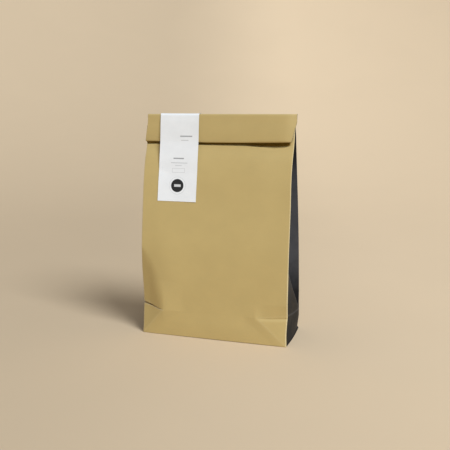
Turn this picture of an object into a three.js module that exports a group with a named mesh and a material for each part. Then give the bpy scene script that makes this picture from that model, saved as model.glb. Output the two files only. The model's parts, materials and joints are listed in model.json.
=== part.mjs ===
// A shut paper bakery bag that stands on its folded base: a front and a back of plain paper,
// a black gusset tucked in at each side, the top folded over to the front, and a paper label
// stuck over the fold. Millimetres, +Z up. The bag faces -Y, +X is to the right of someone
// who looks at its front, and the origin is the middle of the base, on the floor.

import * as THREE from 'three';

const { clamp, lerp, smoothstep } = THREE.MathUtils;

// ---------------------------------------------------------------- driving dimensions

const WIDTH = 220; // across the back and the top fold
const FRONT_WIDTH = 218.4; // across the front
const DEPTH = 88; // front to back at the floor
const HEIGHT = 322; // floor to the top fold
const TOP_TILT = 0.6; // how far the top fold's right end is higher and its left end lower

// Where the side folds of the front and of the back lie: [height, y].
const FRONT_FOLD = [
  [0, -DEPTH / 2], [43, -41.9], [90, -41], [130, -38.9], [165, -35], [200, -30.6],
  [230, -26.2], [258, -20.2], [276, -14.6], [292, -11.4], [311, -8.8],
];
const BACK_FOLD = [
  [0, DEPTH / 2], [40, 42.6], [90, 37], [140, 30], [190, 20], [238, 8.5],
  [275, -0.4], [298, -4], [311, -1.8],
];
const FRONT_LEAN = { left: -1, right: 0.7 }; // how far each front fold is off FRONT_FOLD
const BACK_PINCH = { z: 11, reach: 11, depth: 1.5 }; // where the back folds draw in

// How far the middle of the front and of the back stands out: [height, distance]. The
// contents push the paper out low down, and it is hollow between the folds further up.
const BELLY = [[0, 0], [80, 2], [150, 0.4], [205, -2], [260, -1.4], [300, 0]];

// The crease that the base leaves when the bag is stored flat, and the corner folds under it.
const BASE_CREASE_Z = 45;
const CREASE_SAG = { depth: 6.5, reach: 40 }; // the crease is lower away from the side folds
const CREASE_LEDGE = 2.5; // height over which the tucked part steps back out
const CORNER_FADE = 0.35; // share of a corner fold's size over which its relief runs out
const FRONT_LEFT_CORNER = { reach: 33, ridge: 0.9, groove: 0.5 };
const FRONT_RIGHT_CORNER = { reach: 44, ridge: 1.3, groove: 0.9 };
const BACK_CORNER = { reach: 44, ridge: 0.8, groove: 0.7 };

// The facet pushed in above the crease at the front's left side.
const DENT = { reach: 33, top: 130, depth: 3.5, valley: 0.35, atFold: 0.3 };

// Gussets: black side panels, tucked in above a crease that slants from front to back.
// toRight is 1 for the right side and -1 for the left.
const GUSSET_THICKNESS = 0.8;
const GUSSET_SETBACK = 0.4; // from the side folds' outer line
const GUSSET_LIP = 2; // paper edge in front of a gusset and behind it
const GUSSET_FOLD = 1.2; // width of the inner fold's flat bottom
const GUSSET_FOOT = 1.6; // clear of the floor
const GUSSET_TOP = 292; // where the layers meet
const NOTCH_ROOF = 4; // height in which the tuck closes above a gusset
const GUSSET_SPARE = 0.3; // paper beyond the base's depth
const PLEAT = 4; // narrowest mouth of the tuck, at its foot
const CREASE_ROOM = 3; // least distance from a gusset's front edge to its crease's points
const SIDE_BULGE = 1.6; // how far the foot of a side swells out
const RIGHT_SIDE = { toRight: 1, slantFront: 101, slantBack: 30, bandFront: 40, bandBack: 28 };
const LEFT_SIDE = { toRight: -1, slantFront: 93, slantBack: 34, bandFront: 41, bandBack: 33 };

// Flap: the top of the bag, folded over to the front.
const FLAP_ROOT_Z = 311; // where it leaves the front
const FLAP_ROOT_Y = -10.9; // its outer face there
const FLAP_THICKNESS = 2;
const FLAP_EDGE_Z = 283.6;
const FLAP_EDGE_RISE = 2.4; // of the lower edge, at the right end
const FLAP_EDGE_Y = [[-110, -15.7], [-50, -16.8], [0, -18.4], [50, -21.4], [110, -26.2]];
const FLAP_DRAW_IN = 2; // of the lower right corner
const ROLL_POWER = 2.6; // how square the top fold's round is

// Label: a paper strip from the front over the top fold and down the back.
const LABEL_WIDTH = 58.5;
const LABEL_CENTRE_X = -59.2;
const LABEL_THICKNESS = 0.6;
const LABEL_FOOT_Z = 196.5;
const LABEL_LANDS_Z = 238; // above this it bridges to the flap
const LABEL_BRIDGE = [[238, -24.6], [263, -22.2], [282, -19.9], [299, -16.4], [312, -12.6]];
const LABEL_RISE = 1.2; // over the top fold
const LABEL_BACK_Z = 262; // its end on the back
const LABEL_BACK_GAP = 0.5; // behind the hollow under the top fold

const GAP = 0.3; // between touching pieces

// ---------------------------------------------------------------- mesh densities

const COLUMNS = [-1, -0.9, -0.8, -0.7, -0.6, -0.4, -0.2, 0, 0.2, 0.4, 0.6, 0.7, 0.8, 0.9, 1];
const CORNER_ROWS = 4; // between the floor and the crease
const DENT_ROWS = 6;
const UPPER_ROWS = 10;
const FLAP_ROWS = 4;
const ROLL_STEPS = 8;
const WALL_STEPS = 3; // across each wall of a gusset's tuck
const LABEL_COLUMNS = 6;
const LABEL_STUCK_STEPS = 4; // along the part stuck to the front
const LABEL_BACK_STEPS = 5; // along the part on the back
const LABEL_ROLL_STEPS = 8;

// ---------------------------------------------------------------- shape functions

// A smooth line through [position, value] points.
function smoothLine(points) {
  const last = points.length - 1;
  const slope = (a, b) => (points[b][1] - points[a][1]) / (points[b][0] - points[a][0]);
  const slopeAt = (i) => slope(Math.max(i - 1, 0), Math.min(i + 1, last));
  return (at) => {
    const t = clamp(at, points[0][0], points[last][0]);
    const i = Math.max(1, points.findIndex((p) => p[0] >= t)) - 1;
    const span = points[i + 1][0] - points[i][0];
    const s = (t - points[i][0]) / span;
    const bend = s * (1 - s) * span;
    return lerp(points[i][1], points[i + 1][1], s * s * (3 - 2 * s))
      + bend * ((1 - s) * slopeAt(i) - s * slopeAt(i + 1));
  };
}

const frontLine = smoothLine(FRONT_FOLD);
const backFold = smoothLine(BACK_FOLD);
const belly = smoothLine(BELLY);
const flapEdgeY = smoothLine(FLAP_EDGE_Y);
const labelBridge = smoothLine(LABEL_BRIDGE);

// Columns run from -1 at the left folds to 1 at the right folds.
function frontFold(z, column) {
  const lean = lerp(FRONT_LEAN.left, FRONT_LEAN.right, (column + 1) / 2);
  return frontLine(z) + lean * Math.sin(Math.PI * clamp(z / GUSSET_TOP, 0, 1));
}

function backHalfWidth(z) {
  const pinch = clamp(1 - Math.abs(z - BACK_PINCH.z) / BACK_PINCH.reach, 0, 1);
  return WIDTH / 2 - BACK_PINCH.depth * pinch;
}

// Relief of a bottom corner, outwards. The ridge runs up from the corner to the level crease,
// and the triangle between them falls back into the crease.
function cornerRelief(fromSide, z, corner) {
  const across = fromSide / corner.reach;
  const up = z / BASE_CREASE_Z;
  const ridge = corner.ridge * Math.sin(Math.PI * clamp(across, 0, 1));
  const groove = corner.groove * clamp(1.2 - across, 0, 1);
  if (up <= across) return ridge * clamp(1 - (across - up) / CORNER_FADE, 0, 1);
  if (up <= 1) return lerp(ridge, -groove, (up - across) / (1 - across));
  return -groove * clamp(1 - (up - 1) / CORNER_FADE, 0, 1);
}

// Depth of the pushed-in facet: deepest on the crease, gone at its slanting edge.
function dentDepth(fromSide, z) {
  if (z <= BASE_CREASE_Z || z >= DENT.top) return 0;
  const height = (DENT.top - z) / (DENT.top - BASE_CREASE_Z);
  const edge = DENT.reach * height;
  const valley = DENT.valley * edge;
  const share = fromSide < valley
    ? lerp(DENT.atFold, 1, fromSide / valley)
    : clamp((edge - fromSide) / (edge - valley), 0, 1);
  const ledge = clamp((z - BASE_CREASE_Z) / CREASE_LEDGE, 0, 1);
  return DENT.depth * height * share * ledge;
}

function frontY(x, z) {
  const column = x / (FRONT_WIDTH / 2);
  const fromSide = FRONT_WIDTH / 2 - Math.abs(x);
  const relief = x < 0
    ? cornerRelief(fromSide, z, FRONT_LEFT_CORNER) - dentDepth(fromSide, z)
    : cornerRelief(fromSide, z, FRONT_RIGHT_CORNER);
  return frontFold(z, column) - belly(z) * (1 - column ** 2) - relief;
}

function backY(x, z) {
  const half = backHalfWidth(z);
  const relief = cornerRelief(half - Math.abs(x), z, BACK_CORNER);
  return backFold(z) + belly(z) * (1 - (x / half) ** 2) + relief;
}

// Heights away from the side folds: the level crease sags there, and the rows near it follow.
function sagged(fromSide, z) {
  const near = z < BASE_CREASE_Z
    ? z / BASE_CREASE_Z
    : clamp((DENT.top - z) / (DENT.top - BASE_CREASE_Z), 0, 1);
  return z - CREASE_SAG.depth * near * smoothstep(fromSide, 0, CREASE_SAG.reach);
}

function frontPoint(column, z) {
  const x = (column * FRONT_WIDTH) / 2;
  return [x, frontY(x, z), sagged(FRONT_WIDTH / 2 - Math.abs(x), z)];
}

function backPoint(column, z) {
  const x = column * backHalfWidth(z);
  return [x, backY(x, z), sagged(backHalfWidth(z) - Math.abs(x), z)];
}

// The flap's outer face: share 0 is its root under the top fold, 1 its lower edge.
function flapPoint(column, share) {
  const x = (column * WIDTH) / 2;
  const right = (column + 1) / 2;
  const edgeZ = FLAP_EDGE_Z + FLAP_EDGE_RISE * right ** 3;
  return [
    x - FLAP_DRAW_IN * right * share,
    lerp(FLAP_ROOT_Y, flapEdgeY(x), share),
    lerp(FLAP_ROOT_Z, edgeZ, share),
  ];
}

// The top fold's round, from the flap's root (share 0) over to the back (share 1).
function rollPoint(x, share, rise = 0) {
  const angle = Math.PI * share;
  const rounded = (v) => Math.sign(v) * Math.abs(v) ** (2 / ROLL_POWER);
  const back = backY(x, FLAP_ROOT_Z);
  const radius = (back - FLAP_ROOT_Y) / 2 + rise;
  const height = HEIGHT - FLAP_ROOT_Z + (TOP_TILT * x) / (WIDTH / 2) + rise;
  return [
    x,
    (back + FLAP_ROOT_Y) / 2 - radius * rounded(Math.cos(angle)),
    FLAP_ROOT_Z + height * rounded(Math.sin(angle)),
  ];
}

// ---------------------------------------------------------------- gusset sections

// The line that a gusset's outer face follows at height z, seen from above, from the front
// to the back as [x, y], with x outwards: flat up to the slanting crease, then in and out.
function gussetLine(z, side) {
  const start = frontFold(z, side.toRight) + GUSSET_LIP;
  const end = backFold(z) - GUSSET_LIP;
  const span = end - start;
  const paper = DEPTH - 2 * GUSSET_LIP + GUSSET_SPARE;
  const slant = (side.slantFront - z) / (side.slantFront - side.slantBack);
  const flat = clamp(span * slant, 0, span - PLEAT);
  const run = (span - flat - GUSSET_FOLD) / 2;
  const wall = (paper - flat - GUSSET_FOLD) / 2;
  const depth = Math.sqrt(Math.max(wall ** 2 - run ** 2, 0)) * smoothstep(z, 0, side.slantBack);

  const fold = new THREE.Vector2(-depth, start + flat + run);
  const foldBack = new THREE.Vector2(fold.x, fold.y + GUSSET_FOLD);
  const crease = new THREE.Vector2(0, start + flat);
  const first = new THREE.Vector2(0, start);
  const last = new THREE.Vector2(0, end);
  // Where there is next to no flat part, the crease's points move on to the wall.
  const onWall = Math.max(CREASE_ROOM - flat, 0);
  crease.addScaledVector(fold.clone().sub(crease).normalize(), onWall);

  const between = (a, b, steps) =>
    Array.from({ length: steps }, (_, i) => a.clone().lerp(b, i / steps));
  const line = [
    ...between(first, crease, 2),
    ...between(crease, fold, WALL_STEPS),
    fold,
    ...between(foldBack, last, WALL_STEPS),
    last,
  ];
  // The foot of the side swells out, below a crease that runs back from the front fold.
  return line.map((point) => {
    const along = clamp((point.y - start) / span, 0, 1);
    const band = lerp(side.bandFront, side.bandBack, along);
    const swelling = SIDE_BULGE * Math.sin(Math.PI * along) * clamp(1 - z / band, 0, 1);
    const half = lerp(FRONT_WIDTH / 2, backHalfWidth(z), along);
    return new THREE.Vector2(point.x + half - GUSSET_SETBACK + swelling, point.y);
  });
}

// The same line moved into the bag by a distance, with mitred corners.
function movedIn(line, distance) {
  const normals = line.slice(1).map((point, i) => {
    const along = point.clone().sub(line[i]).normalize();
    return new THREE.Vector2(-along.y, along.x);
  });
  return line.map((point, i) => {
    const before = normals[Math.max(i - 1, 0)];
    const after = normals[Math.min(i, normals.length - 1)];
    const mitre = before.clone().add(after).divideScalar(1 + before.dot(after));
    return point.clone().addScaledVector(mitre, distance);
  });
}

// The bag paper's side at height z, from the front fold to the back fold, without those two:
// a lip, the notch that the gusset lies in, and a lip.
function sideLine(z, side) {
  const front = new THREE.Vector2(FRONT_WIDTH / 2, frontFold(z, side.toRight));
  const back = new THREE.Vector2(backHalfWidth(z), backFold(z));
  const line = gussetLine(z, side);
  if (z >= GUSSET_TOP + NOTCH_ROOF) {
    const steps = line.length + 3;
    return Array.from({ length: steps - 1 }, (_, i) => front.clone().lerp(back, (i + 1) / steps));
  }
  const notch = movedIn(line, GUSSET_THICKNESS + GAP);
  const [first, second] = notch;
  const [secondLast, last] = notch.slice(-2);
  first.addScaledVector(first.clone().sub(second).normalize(), GAP);
  last.addScaledVector(last.clone().sub(secondLast).normalize(), GAP);
  first.x = Math.min(first.x, front.x - GAP / 3);
  last.x = Math.min(last.x, back.x - GAP / 3);
  return [
    new THREE.Vector2(front.x, first.y - GAP / 2),
    ...notch,
    new THREE.Vector2(back.x, last.y + GAP / 2),
  ];
}

// ---------------------------------------------------------------- mesh building

// A closed surface put together from rows of points. Faces point out where the columns run
// along X and the rows along Z on a side that faces -Y.
class Skin {
  constructor() {
    this.points = [];
    this.faces = [];
  }

  row(points) {
    return points.map((point) => this.points.push(point) - 1);
  }

  // otherSplit says which quads are cut along their other diagonal.
  sheet(rows, otherSplit = () => false) {
    for (let k = 0; k + 1 < rows.length; k++) {
      for (let i = 0; i + 1 < rows[k].length; i++) {
        const [a, b, c, d] = [rows[k][i], rows[k][i + 1], rows[k + 1][i + 1], rows[k + 1][i]];
        if (otherSplit(this.points[a])) this.faces.push([a, b, d], [b, c, d]);
        else this.faces.push([a, b, c], [a, c, d]);
      }
    }
  }

  // A thin closed panel between an outer and an inner sheet of the same rows.
  panel(outer, inner) {
    this.sheet(outer);
    this.sheet(inner.map((row) => row.toReversed()), () => true);
    this.sheet(outer.map((row, k) => [inner[k][0], row[0]]));
    this.sheet(outer.map((row, k) => [row.at(-1), inner[k].at(-1)]));
    this.sheet([inner[0], outer[0]]);
    this.sheet([outer.at(-1), inner.at(-1)]);
  }

  turnInsideOut() {
    this.faces = this.faces.map(([a, b, c]) => [a, c, b]);
  }

  fan(centre, outline) {
    const [middle] = this.row([centre]);
    outline.forEach((a, i) => this.faces.push([middle, a, outline[(i + 1) % outline.length]]));
  }

  geometry() {
    const geometry = new THREE.BufferGeometry();
    geometry.setAttribute('position', new THREE.Float32BufferAttribute(this.points.flat(), 3));
    geometry.setIndex(this.faces.flat());
    geometry.computeVertexNormals();
    return geometry;
  }
}

function evenly(from, to, steps) {
  return Array.from({ length: steps }, (_, i) => lerp(from, to, i / steps));
}

// ---------------------------------------------------------------- the pieces

const BODY_LEVELS = [
  ...evenly(0, BASE_CREASE_Z, CORNER_ROWS),
  BASE_CREASE_Z,
  ...evenly(BASE_CREASE_Z + CREASE_LEDGE, DENT.top, DENT_ROWS),
  ...evenly(DENT.top, 270, UPPER_ROWS),
  270,
  281,
  GUSSET_TOP,
  GUSSET_TOP + NOTCH_ROOF / 2,
  GUSSET_TOP + NOTCH_ROOF,
  303,
  FLAP_ROOT_Z,
];

// Front, back, base and flap: the one sheet of paper that the bag is folded from, filled.
function bagBodyGeometry() {
  const skin = new Skin();
  const rings = BODY_LEVELS.map((z) => {
    const front = COLUMNS.map((column) => frontPoint(column, z));
    const back = COLUMNS.map((column) => backPoint(column, z));
    const right = sideLine(z, RIGHT_SIDE).map((point) => [point.x, point.y, z]);
    const left = sideLine(z, LEFT_SIDE).map((point) => [-point.x, point.y, z]);
    return {
      front: skin.row(front), right: skin.row(right), back: skin.row(back), left: skin.row(left),
    };
  });

  // Quads are cut along the corner folds and along the dent's slanting edge.
  const foldSplit = ([x, y, z]) => (y < 0 ? x < 0 : x > 0) !== z >= BASE_CREASE_Z;
  skin.sheet(rings.map(({ front }) => front), foldSplit);
  skin.sheet(rings.map(({ front, right, back }) => [front.at(-1), ...right, back.at(-1)]));
  skin.sheet(rings.map(({ back }) => back.toReversed()), foldSplit);
  skin.sheet(rings.map(({ front, left, back }) => [back[0], ...left.toReversed(), front[0]]),
    () => true);

  // The base, from the back to the front.
  const [foot] = rings;
  const inner = COLUMNS.slice(1, -1);
  const across = foot.right.map((_, i) => {
    const [leftX, y] = skin.points[foot.left[i]];
    const [rightX] = skin.points[foot.right[i]];
    const middle = inner.map((column) => [lerp(leftX, rightX, (column + 1) / 2), y, 0]);
    return [foot.left[i], ...skin.row(middle), foot.right[i]];
  });
  skin.sheet([foot.back, ...across.toReversed(), foot.front]);

  // The flap and the top fold.
  const top = rings.at(-1);
  const outerRows = evenly(1, 0, FLAP_ROWS).concat(0)
    .map((share) => skin.row(COLUMNS.map((column) => flapPoint(column, share))));
  const innerRows = evenly(1, 0, FLAP_ROWS).map((share) => skin.row(COLUMNS.map((column) => {
    const [x, y, z] = flapPoint(column, share);
    return [x, y + FLAP_THICKNESS, z];
  })));
  const rollRows = evenly(0, 1, ROLL_STEPS).slice(1).map((share) =>
    skin.row(COLUMNS.map((column) => rollPoint((column * WIDTH) / 2, share))));
  innerRows.push(top.front);
  skin.sheet([...innerRows.toReversed(), ...outerRows, ...rollRows, top.back]);

  // The ends of the flap and of the top fold.
  const endOf = (rows, column) => rows.map((row) => row.at(column));
  skin.sheet([endOf(innerRows, -1), endOf(outerRows, -1)]);
  skin.sheet([endOf(outerRows, 0), endOf(innerRows, 0)]);
  const rollEnd = (column) => [outerRows.at(-1).at(column), ...endOf(rollRows, column)];
  const middleOf = (x) => [x, (FLAP_ROOT_Y + backFold(FLAP_ROOT_Z)) / 2, FLAP_ROOT_Z + 3];
  skin.fan(middleOf(WIDTH / 2), [top.front.at(-1), ...top.right, top.back.at(-1),
    ...rollEnd(-1).toReversed()]);
  skin.fan(middleOf(-WIDTH / 2), [top.back[0], ...top.left.toReversed(), top.front[0],
    ...rollEnd(0)]);
  return skin.geometry();
}

// A gusset: a thin panel that follows its line from just over the floor to the top.
function gussetGeometry(side) {
  const skin = new Skin();
  const levels = [GUSSET_FOOT, ...BODY_LEVELS.filter((z) => z > 0 && z <= GUSSET_TOP)];
  const rows = (distance) => levels.map((z) => {
    const line = movedIn(gussetLine(z, side), distance);
    return skin.row(line.map((point) => [side.toRight * point.x, point.y, z]));
  });
  skin.panel(rows(0), rows(GUSSET_THICKNESS));
  if (side.toRight < 0) skin.turnInsideOut();
  return skin.geometry();
}

// The label's inner face at x, seen along X as [y, z], from its foot over to its back end.
function labelLine(x) {
  const stuck = evenly(LABEL_FOOT_Z, LABEL_LANDS_Z, LABEL_STUCK_STEPS)
    .map((z) => [frontY(x, z) - GAP, z]);
  const bridge = LABEL_BRIDGE.slice(1)
    .flatMap(([z], i) => evenly(LABEL_BRIDGE[i][0], z, 2))
    .map((z) => [Math.min(labelBridge(z), frontY(x, z) - GAP), z]);
  const roll = evenly(0, 1, LABEL_ROLL_STEPS).slice(1).concat(1)
    .map((share) => rollPoint(x, share, LABEL_RISE).slice(1));
  const downBack = evenly(FLAP_ROOT_Z, LABEL_BACK_Z, LABEL_BACK_STEPS).slice(1)
    .concat(LABEL_BACK_Z)
    .map((z) => [backY(x, z) + LABEL_BACK_GAP, z]);
  return [...stuck, ...bridge, ...roll, ...downBack].map(([y, z]) => new THREE.Vector2(y, z));
}

function labelGeometry() {
  const skin = new Skin();
  const edges = evenly(0.5, -0.5, LABEL_COLUMNS).concat(-0.5)
    .map((share) => LABEL_CENTRE_X + share * LABEL_WIDTH);
  const rows = (distance) => edges.map((x) =>
    skin.row(movedIn(labelLine(x), distance).map((point) => [x, point.x, point.y])));
  skin.panel(rows(LABEL_THICKNESS), rows(0));
  return skin.geometry();
}

// ---------------------------------------------------------------- materials and assembly

function paper(color, roughness) {
  return new THREE.MeshStandardMaterial({ color, roughness, metalness: 0 });
}

const bagPaper = paper('#b89c64', 0.72);
const blackPaper = paper('#3a3b39', 0.7);
const labelPaper = paper('#e9eae9', 0.6);

function piece(name, geometry, material) {
  const mesh = new THREE.Mesh(geometry, material);
  mesh.name = name;
  return mesh;
}

const bag = new THREE.Group();
bag.add(
  piece('bag_body', bagBodyGeometry(), bagPaper),
  piece('gusset_right', gussetGeometry(RIGHT_SIDE), blackPaper),
  piece('gusset_left', gussetGeometry(LEFT_SIDE), blackPaper),
  piece('label', labelGeometry(), labelPaper),
);

export default bag;
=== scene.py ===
"""A shut paper bakery bag: gold paper, black gussets, a top that is folded down, and a label.

The file is laid out as a Blender add-on. Run as a script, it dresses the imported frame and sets
the stage, the lights and the camera. Shapes are worked out in millimetres, as on the maker's
drawing, and become metres where a mesh is made. The bag faces -Y and stands on the floor.
"""

import json

import bpy
import numpy as np
from bpy.props import FloatProperty, FloatVectorProperty, IntProperty, PointerProperty
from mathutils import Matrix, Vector

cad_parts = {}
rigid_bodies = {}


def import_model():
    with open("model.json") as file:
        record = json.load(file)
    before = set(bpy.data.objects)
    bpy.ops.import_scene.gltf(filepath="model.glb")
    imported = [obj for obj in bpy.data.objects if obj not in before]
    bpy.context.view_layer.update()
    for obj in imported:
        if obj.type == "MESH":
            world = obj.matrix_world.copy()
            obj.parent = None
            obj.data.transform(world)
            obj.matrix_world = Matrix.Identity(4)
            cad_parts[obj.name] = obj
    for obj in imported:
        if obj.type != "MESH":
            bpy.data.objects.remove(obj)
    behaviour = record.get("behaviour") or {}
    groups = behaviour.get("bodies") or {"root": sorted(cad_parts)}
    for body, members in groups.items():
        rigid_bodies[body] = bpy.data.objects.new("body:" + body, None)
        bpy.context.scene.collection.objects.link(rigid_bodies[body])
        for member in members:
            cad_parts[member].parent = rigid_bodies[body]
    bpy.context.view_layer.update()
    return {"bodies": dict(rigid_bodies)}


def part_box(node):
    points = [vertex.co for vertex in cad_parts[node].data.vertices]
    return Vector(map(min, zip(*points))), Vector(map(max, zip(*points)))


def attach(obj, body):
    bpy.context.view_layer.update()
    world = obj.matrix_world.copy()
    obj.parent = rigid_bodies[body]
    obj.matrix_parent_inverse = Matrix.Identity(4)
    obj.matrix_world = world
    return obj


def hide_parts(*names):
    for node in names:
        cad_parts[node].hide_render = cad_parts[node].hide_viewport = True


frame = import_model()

bl_info = {
    "name": "Paper bakery bag",
    "version": (1, 0, 0),
    "blender": (4, 5, 0),
    "location": "View3D > Sidebar > Bakery Bag",
    "description": "Builds a shut paper bakery bag with gussets, a folded top and a label",
    "category": "Add Mesh",
}

(BODY,) = frame["bodies"]
MM = 0.001  # metres


# ------------------------------------------------------------------ sizes from the frame

def box_in_mm(node):
    return [np.array(corner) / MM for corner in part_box(node)]


_, BODY_HIGH = box_in_mm("bag_body")
LABEL_LOW, LABEL_HIGH = box_in_mm("label")

HALF_WIDTH = BODY_HIGH[0]  # of the back and of the top fold
TOP_TILT = 0.4  # how far the top fold's right end is higher and its left end lower
TOP_SHIFT = (2.9, 2.7)  # of the top fold's ends to the right
HEIGHT = BODY_HIGH[2] - TOP_TILT
HALF_DEPTH = 44.0  # at the floor
FRONT_HALF_WIDTH = 109.2

# Where the side folds of the front and of the back lie: (height, y).
FRONT_FOLD = [
    (0, -HALF_DEPTH), (43, -41.9), (90, -41), (130, -38.9), (165, -35), (200, -30.6),
    (230, -26.2), (258, -20.2), (276, -14.6), (292, -11.4), (311, -8.8),
]
BACK_FOLD = [
    (0, HALF_DEPTH), (40, 42.6), (90, 37), (140, 30), (190, 20), (238, 8.5),
    (275, -0.4), (298, -4), (311, -1.8),
]
FRONT_LEAN_LEFT, FRONT_LEAN_RIGHT = -1.0, 0.7  # how far each front fold is off FRONT_FOLD
PINCH = [(0, 0), (3.5, 2.2), (22, 0)]  # how far the back folds draw in: (height, distance)

# How far the middles of the front and of the back stand out past their folds: (height, y).
BELLY = [
    (0, 1.2), (12, 2), (28, 2.5), (80, 1.8), (150, 0.3), (205, -1.2), (255, -0.5), (284, 0.4),
    (300, 0)]

# The crease that the base leaves, and how far it drops: at the side folds, and from there
# inwards, between two distances from them.
CREASE_Z = 45
LEFT_DROP, RIGHT_DROP, BACK_DROP = (1.9, 4.6), (4.4, 2.4), (2, 3)
DROP_START, DROP_END = -8, 40

# The corner folds under the crease. One reaches across from the side fold, and its ridge
# stands out. At the side fold the facet beside it is pushed in, and so is the paper above the
# crease. A band under the crease, the lip, goes in and faces upwards. All this fades out over
# a share of the reach.
LIP_HEIGHT = 5.5
LIP_ENDS = (1.05, 0.7)  # shares of the reach between which the lip ends
LEFT_CORNER = {"reach": 34, "ridge": 3.2, "fade": 0.9, "push": 9.4, "push_above": 0, "lip": 0}
RIGHT_CORNER = {
    "reach": 45, "ridge": 0.9, "fade": 0.4, "push": 2, "push_above": 1.5, "lip": 1.2}
BACK_CORNER = {
    "reach": 44, "ridge": 0.8, "fade": 0.4, "push": 0.7, "push_above": 0.7, "lip": 0.4}

# The facet pushed in above the crease at the front's left side, with the pinched groove in
# the crease, and how far the panel swells beside it. Tapers and the facet's rise are powers.
DENT = {
    "reach": 33, "taper": 0.7, "top": 130, "depth": 8.2, "rise": 1.8, "softness": (0.6, 0.22)}
GROOVE = {
    "reach": 31, "depth": 4.6, "depth_taper": 0.7, "width": 2.7, "width_taper": 0.5,
    "wall": 0.3}
LEFT_SWELL = {"rise": 2.4, "reach": 26, "end": 104, "middle": 85, "spread": 95 / 1.5}

# The left fold moves out by this share of how far it is pushed in, up to behind the flap, and
# besides by this much: (height, distance).
DRAWN_OUT, DRAWN_OUT_TOP = 0.3, (284, 288)
LEFT_FOLD_OUT = [
    (0, 0), (10, -0.4), (30, -0.4), (62, -0.6), (100, 0.9), (195, 1.25), (255, 1.2), (278, 0.5),
    (281, 1.7), (284, 1.7), (288, 0), (300, 0)]
RIGHT_FOLD_IN = [(0, 0), (20, 0.9), (50, 0), (190, 0), (240, 0.9), (292, 0)]
MOVED_WIDTH = 12  # of the strip beside a side fold that moves with it

# Gussets: how high the slanting crease and the foot's crease are, at the front and the back.
GUSSET_TOP = 292
RIGHT_SIDE = {"sign": 1, "slant": (108, 37), "band": (44, 31)}
LEFT_SIDE = {"sign": -1, "slant": (93, 34), "band": (41, 33)}
TUCK_FOLD = 1.2  # width of the tuck's inner fold where the tuck is open
LEAST_TUCK = 4  # mouth of the tuck at the foot
SPARE_PAPER = 0.3  # in a gusset, beyond the bag's depth
SIDE_SWELL = 1.6  # of a gusset's foot
# How far the front's lower edge hangs clear, most to the right, and how high that is felt.
FOOT_LIFT, FOOT_LIFT_SKEW, FOOT_LIFT_HEIGHT = 0.45, 1.6, 12
WALL_BOW = 1.2  # how far the tuck's walls bow towards each other
OPEN_SPAN = 8  # from front to back, past which the side folds have their full radius
OPEN_START = 30  # from front to back, past which a gusset starts its full distance in
BUTT_GAP = 0.04  # between the gold border and the gusset

# The seam down the back, where the sheet overlaps itself.
BACK_SEAM_X, SEAM_OVERLAP, SEAM_STEP = 16, 14, 0.3

# Slow waves in the front and the back: how many, between which lengths, and how far they may
# be turned. They end at these distances from the side folds, the floor and WAVE_TOP.
WAVE_COUNT, WAVE_LENGTHS, WAVE_TURN = 6, (55, 150), 0.5
WAVE_ROOM_SIDE, WAVE_ROOM_FOOT, WAVE_ROOM_TOP, WAVE_TOP = 40, 60, 40, 290

# The top: one fold over to the front, and a second fold at the flap's lower edge.
ROOT_Z = 311  # where the flap's outer face leaves the top fold
ROOT_Y = [(-110, -15), (20, -15), (85, -16.2), (98, -16.2), (110, -14.4)]
FRONT_ROLL_POWER, BACK_ROLL_POWER = 11, 2.8  # how square the top fold is
FLAP_EDGE_Z = [
    (-110, 282.6), (-85, 282.6), (-30, 282.1), (0, 282.2), (55, 282.9), (95, 283.9),
    (110, 284.5)]
FLAP_EDGE_Y = [(-110, -15.7), (-50, -15.8), (0, -16), (50, -16.9), (97, -18.4), (110, -17.4)]
FLAP_SKEW, FLAP_DRAW_IN = 0.9, 2.9  # of the lower edge to the left, and of its right end
FLAP_BOW = 0.4  # outwards, half-way down
FLAP_THICKNESS = [(-110, 3.8), (-40, 3), (35, 3), (65, 4.4), (98, 4.4), (110, 2.2)]
FLAP_ROOM = 0.35  # from the flap's back to the front

# The hollow under the flap's lower edge: how high it is, and how far it goes in behind the
# flap's back, across the front.
HOLLOW_HEIGHT = [
    (-110, 4), (-98, 3.5), (20, 3.6), (40, 4), (56, 5.2), (88, 6.4), (101, 5.4), (110, 1)]
HOLLOW_DEPTH = [(-110, 3.6), (20, 5), (60, 8), (94, 7), (104, 0)]
HOLLOW_EDGE = 0.6  # half the height over which it begins
HOLLOW_TOP = (7, 16)  # heights over its lower edge between which it ends
FLAP_RETURN = 20  # length of the paper folded up behind the flap
END_PINCH, END_PINCH_REACH = 6, 16  # how far the back comes forward at the top's right end
END_PINCH_LOW = 288
NECK_LOW, NECK_HIGH = 296, 309  # heights between which front and back come together

# Where the tube lies flat: the front, the back and a gusset's two layers between them.
FLAT_LAYERS = 4
LAYER_GAP = 0.05  # from the front and from the back to the gusset
TUCK_GAP = 0.1  # between the gusset's two layers

# The label's path: (height, y of its inner face) in front, and its end behind.
LABEL_PATH = [
    (230, -26.6), (243, -24.3), (263, -21.3), (276, -19.2), (284, -18.1), (299, -17.1),
    (312, -16.2)]
LABEL_MEETS = (230, 256)  # heights between which it comes away from the front
LABEL_FOOT_Z, LABEL_BACK_Z = 198, 262
LABEL_SHIFT = (1.3, 2.1)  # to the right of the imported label, at its foot and at the top
LABEL_RISE = (0.8, 0.25)  # over the top fold: in front and behind
LABEL_SETTLE = 12  # length behind, over which it comes down to the back
LABEL_FRONT_POINTS, LABEL_BACK_POINTS = 60, 20  # of the path


# ------------------------------------------------------------------ settings

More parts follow.
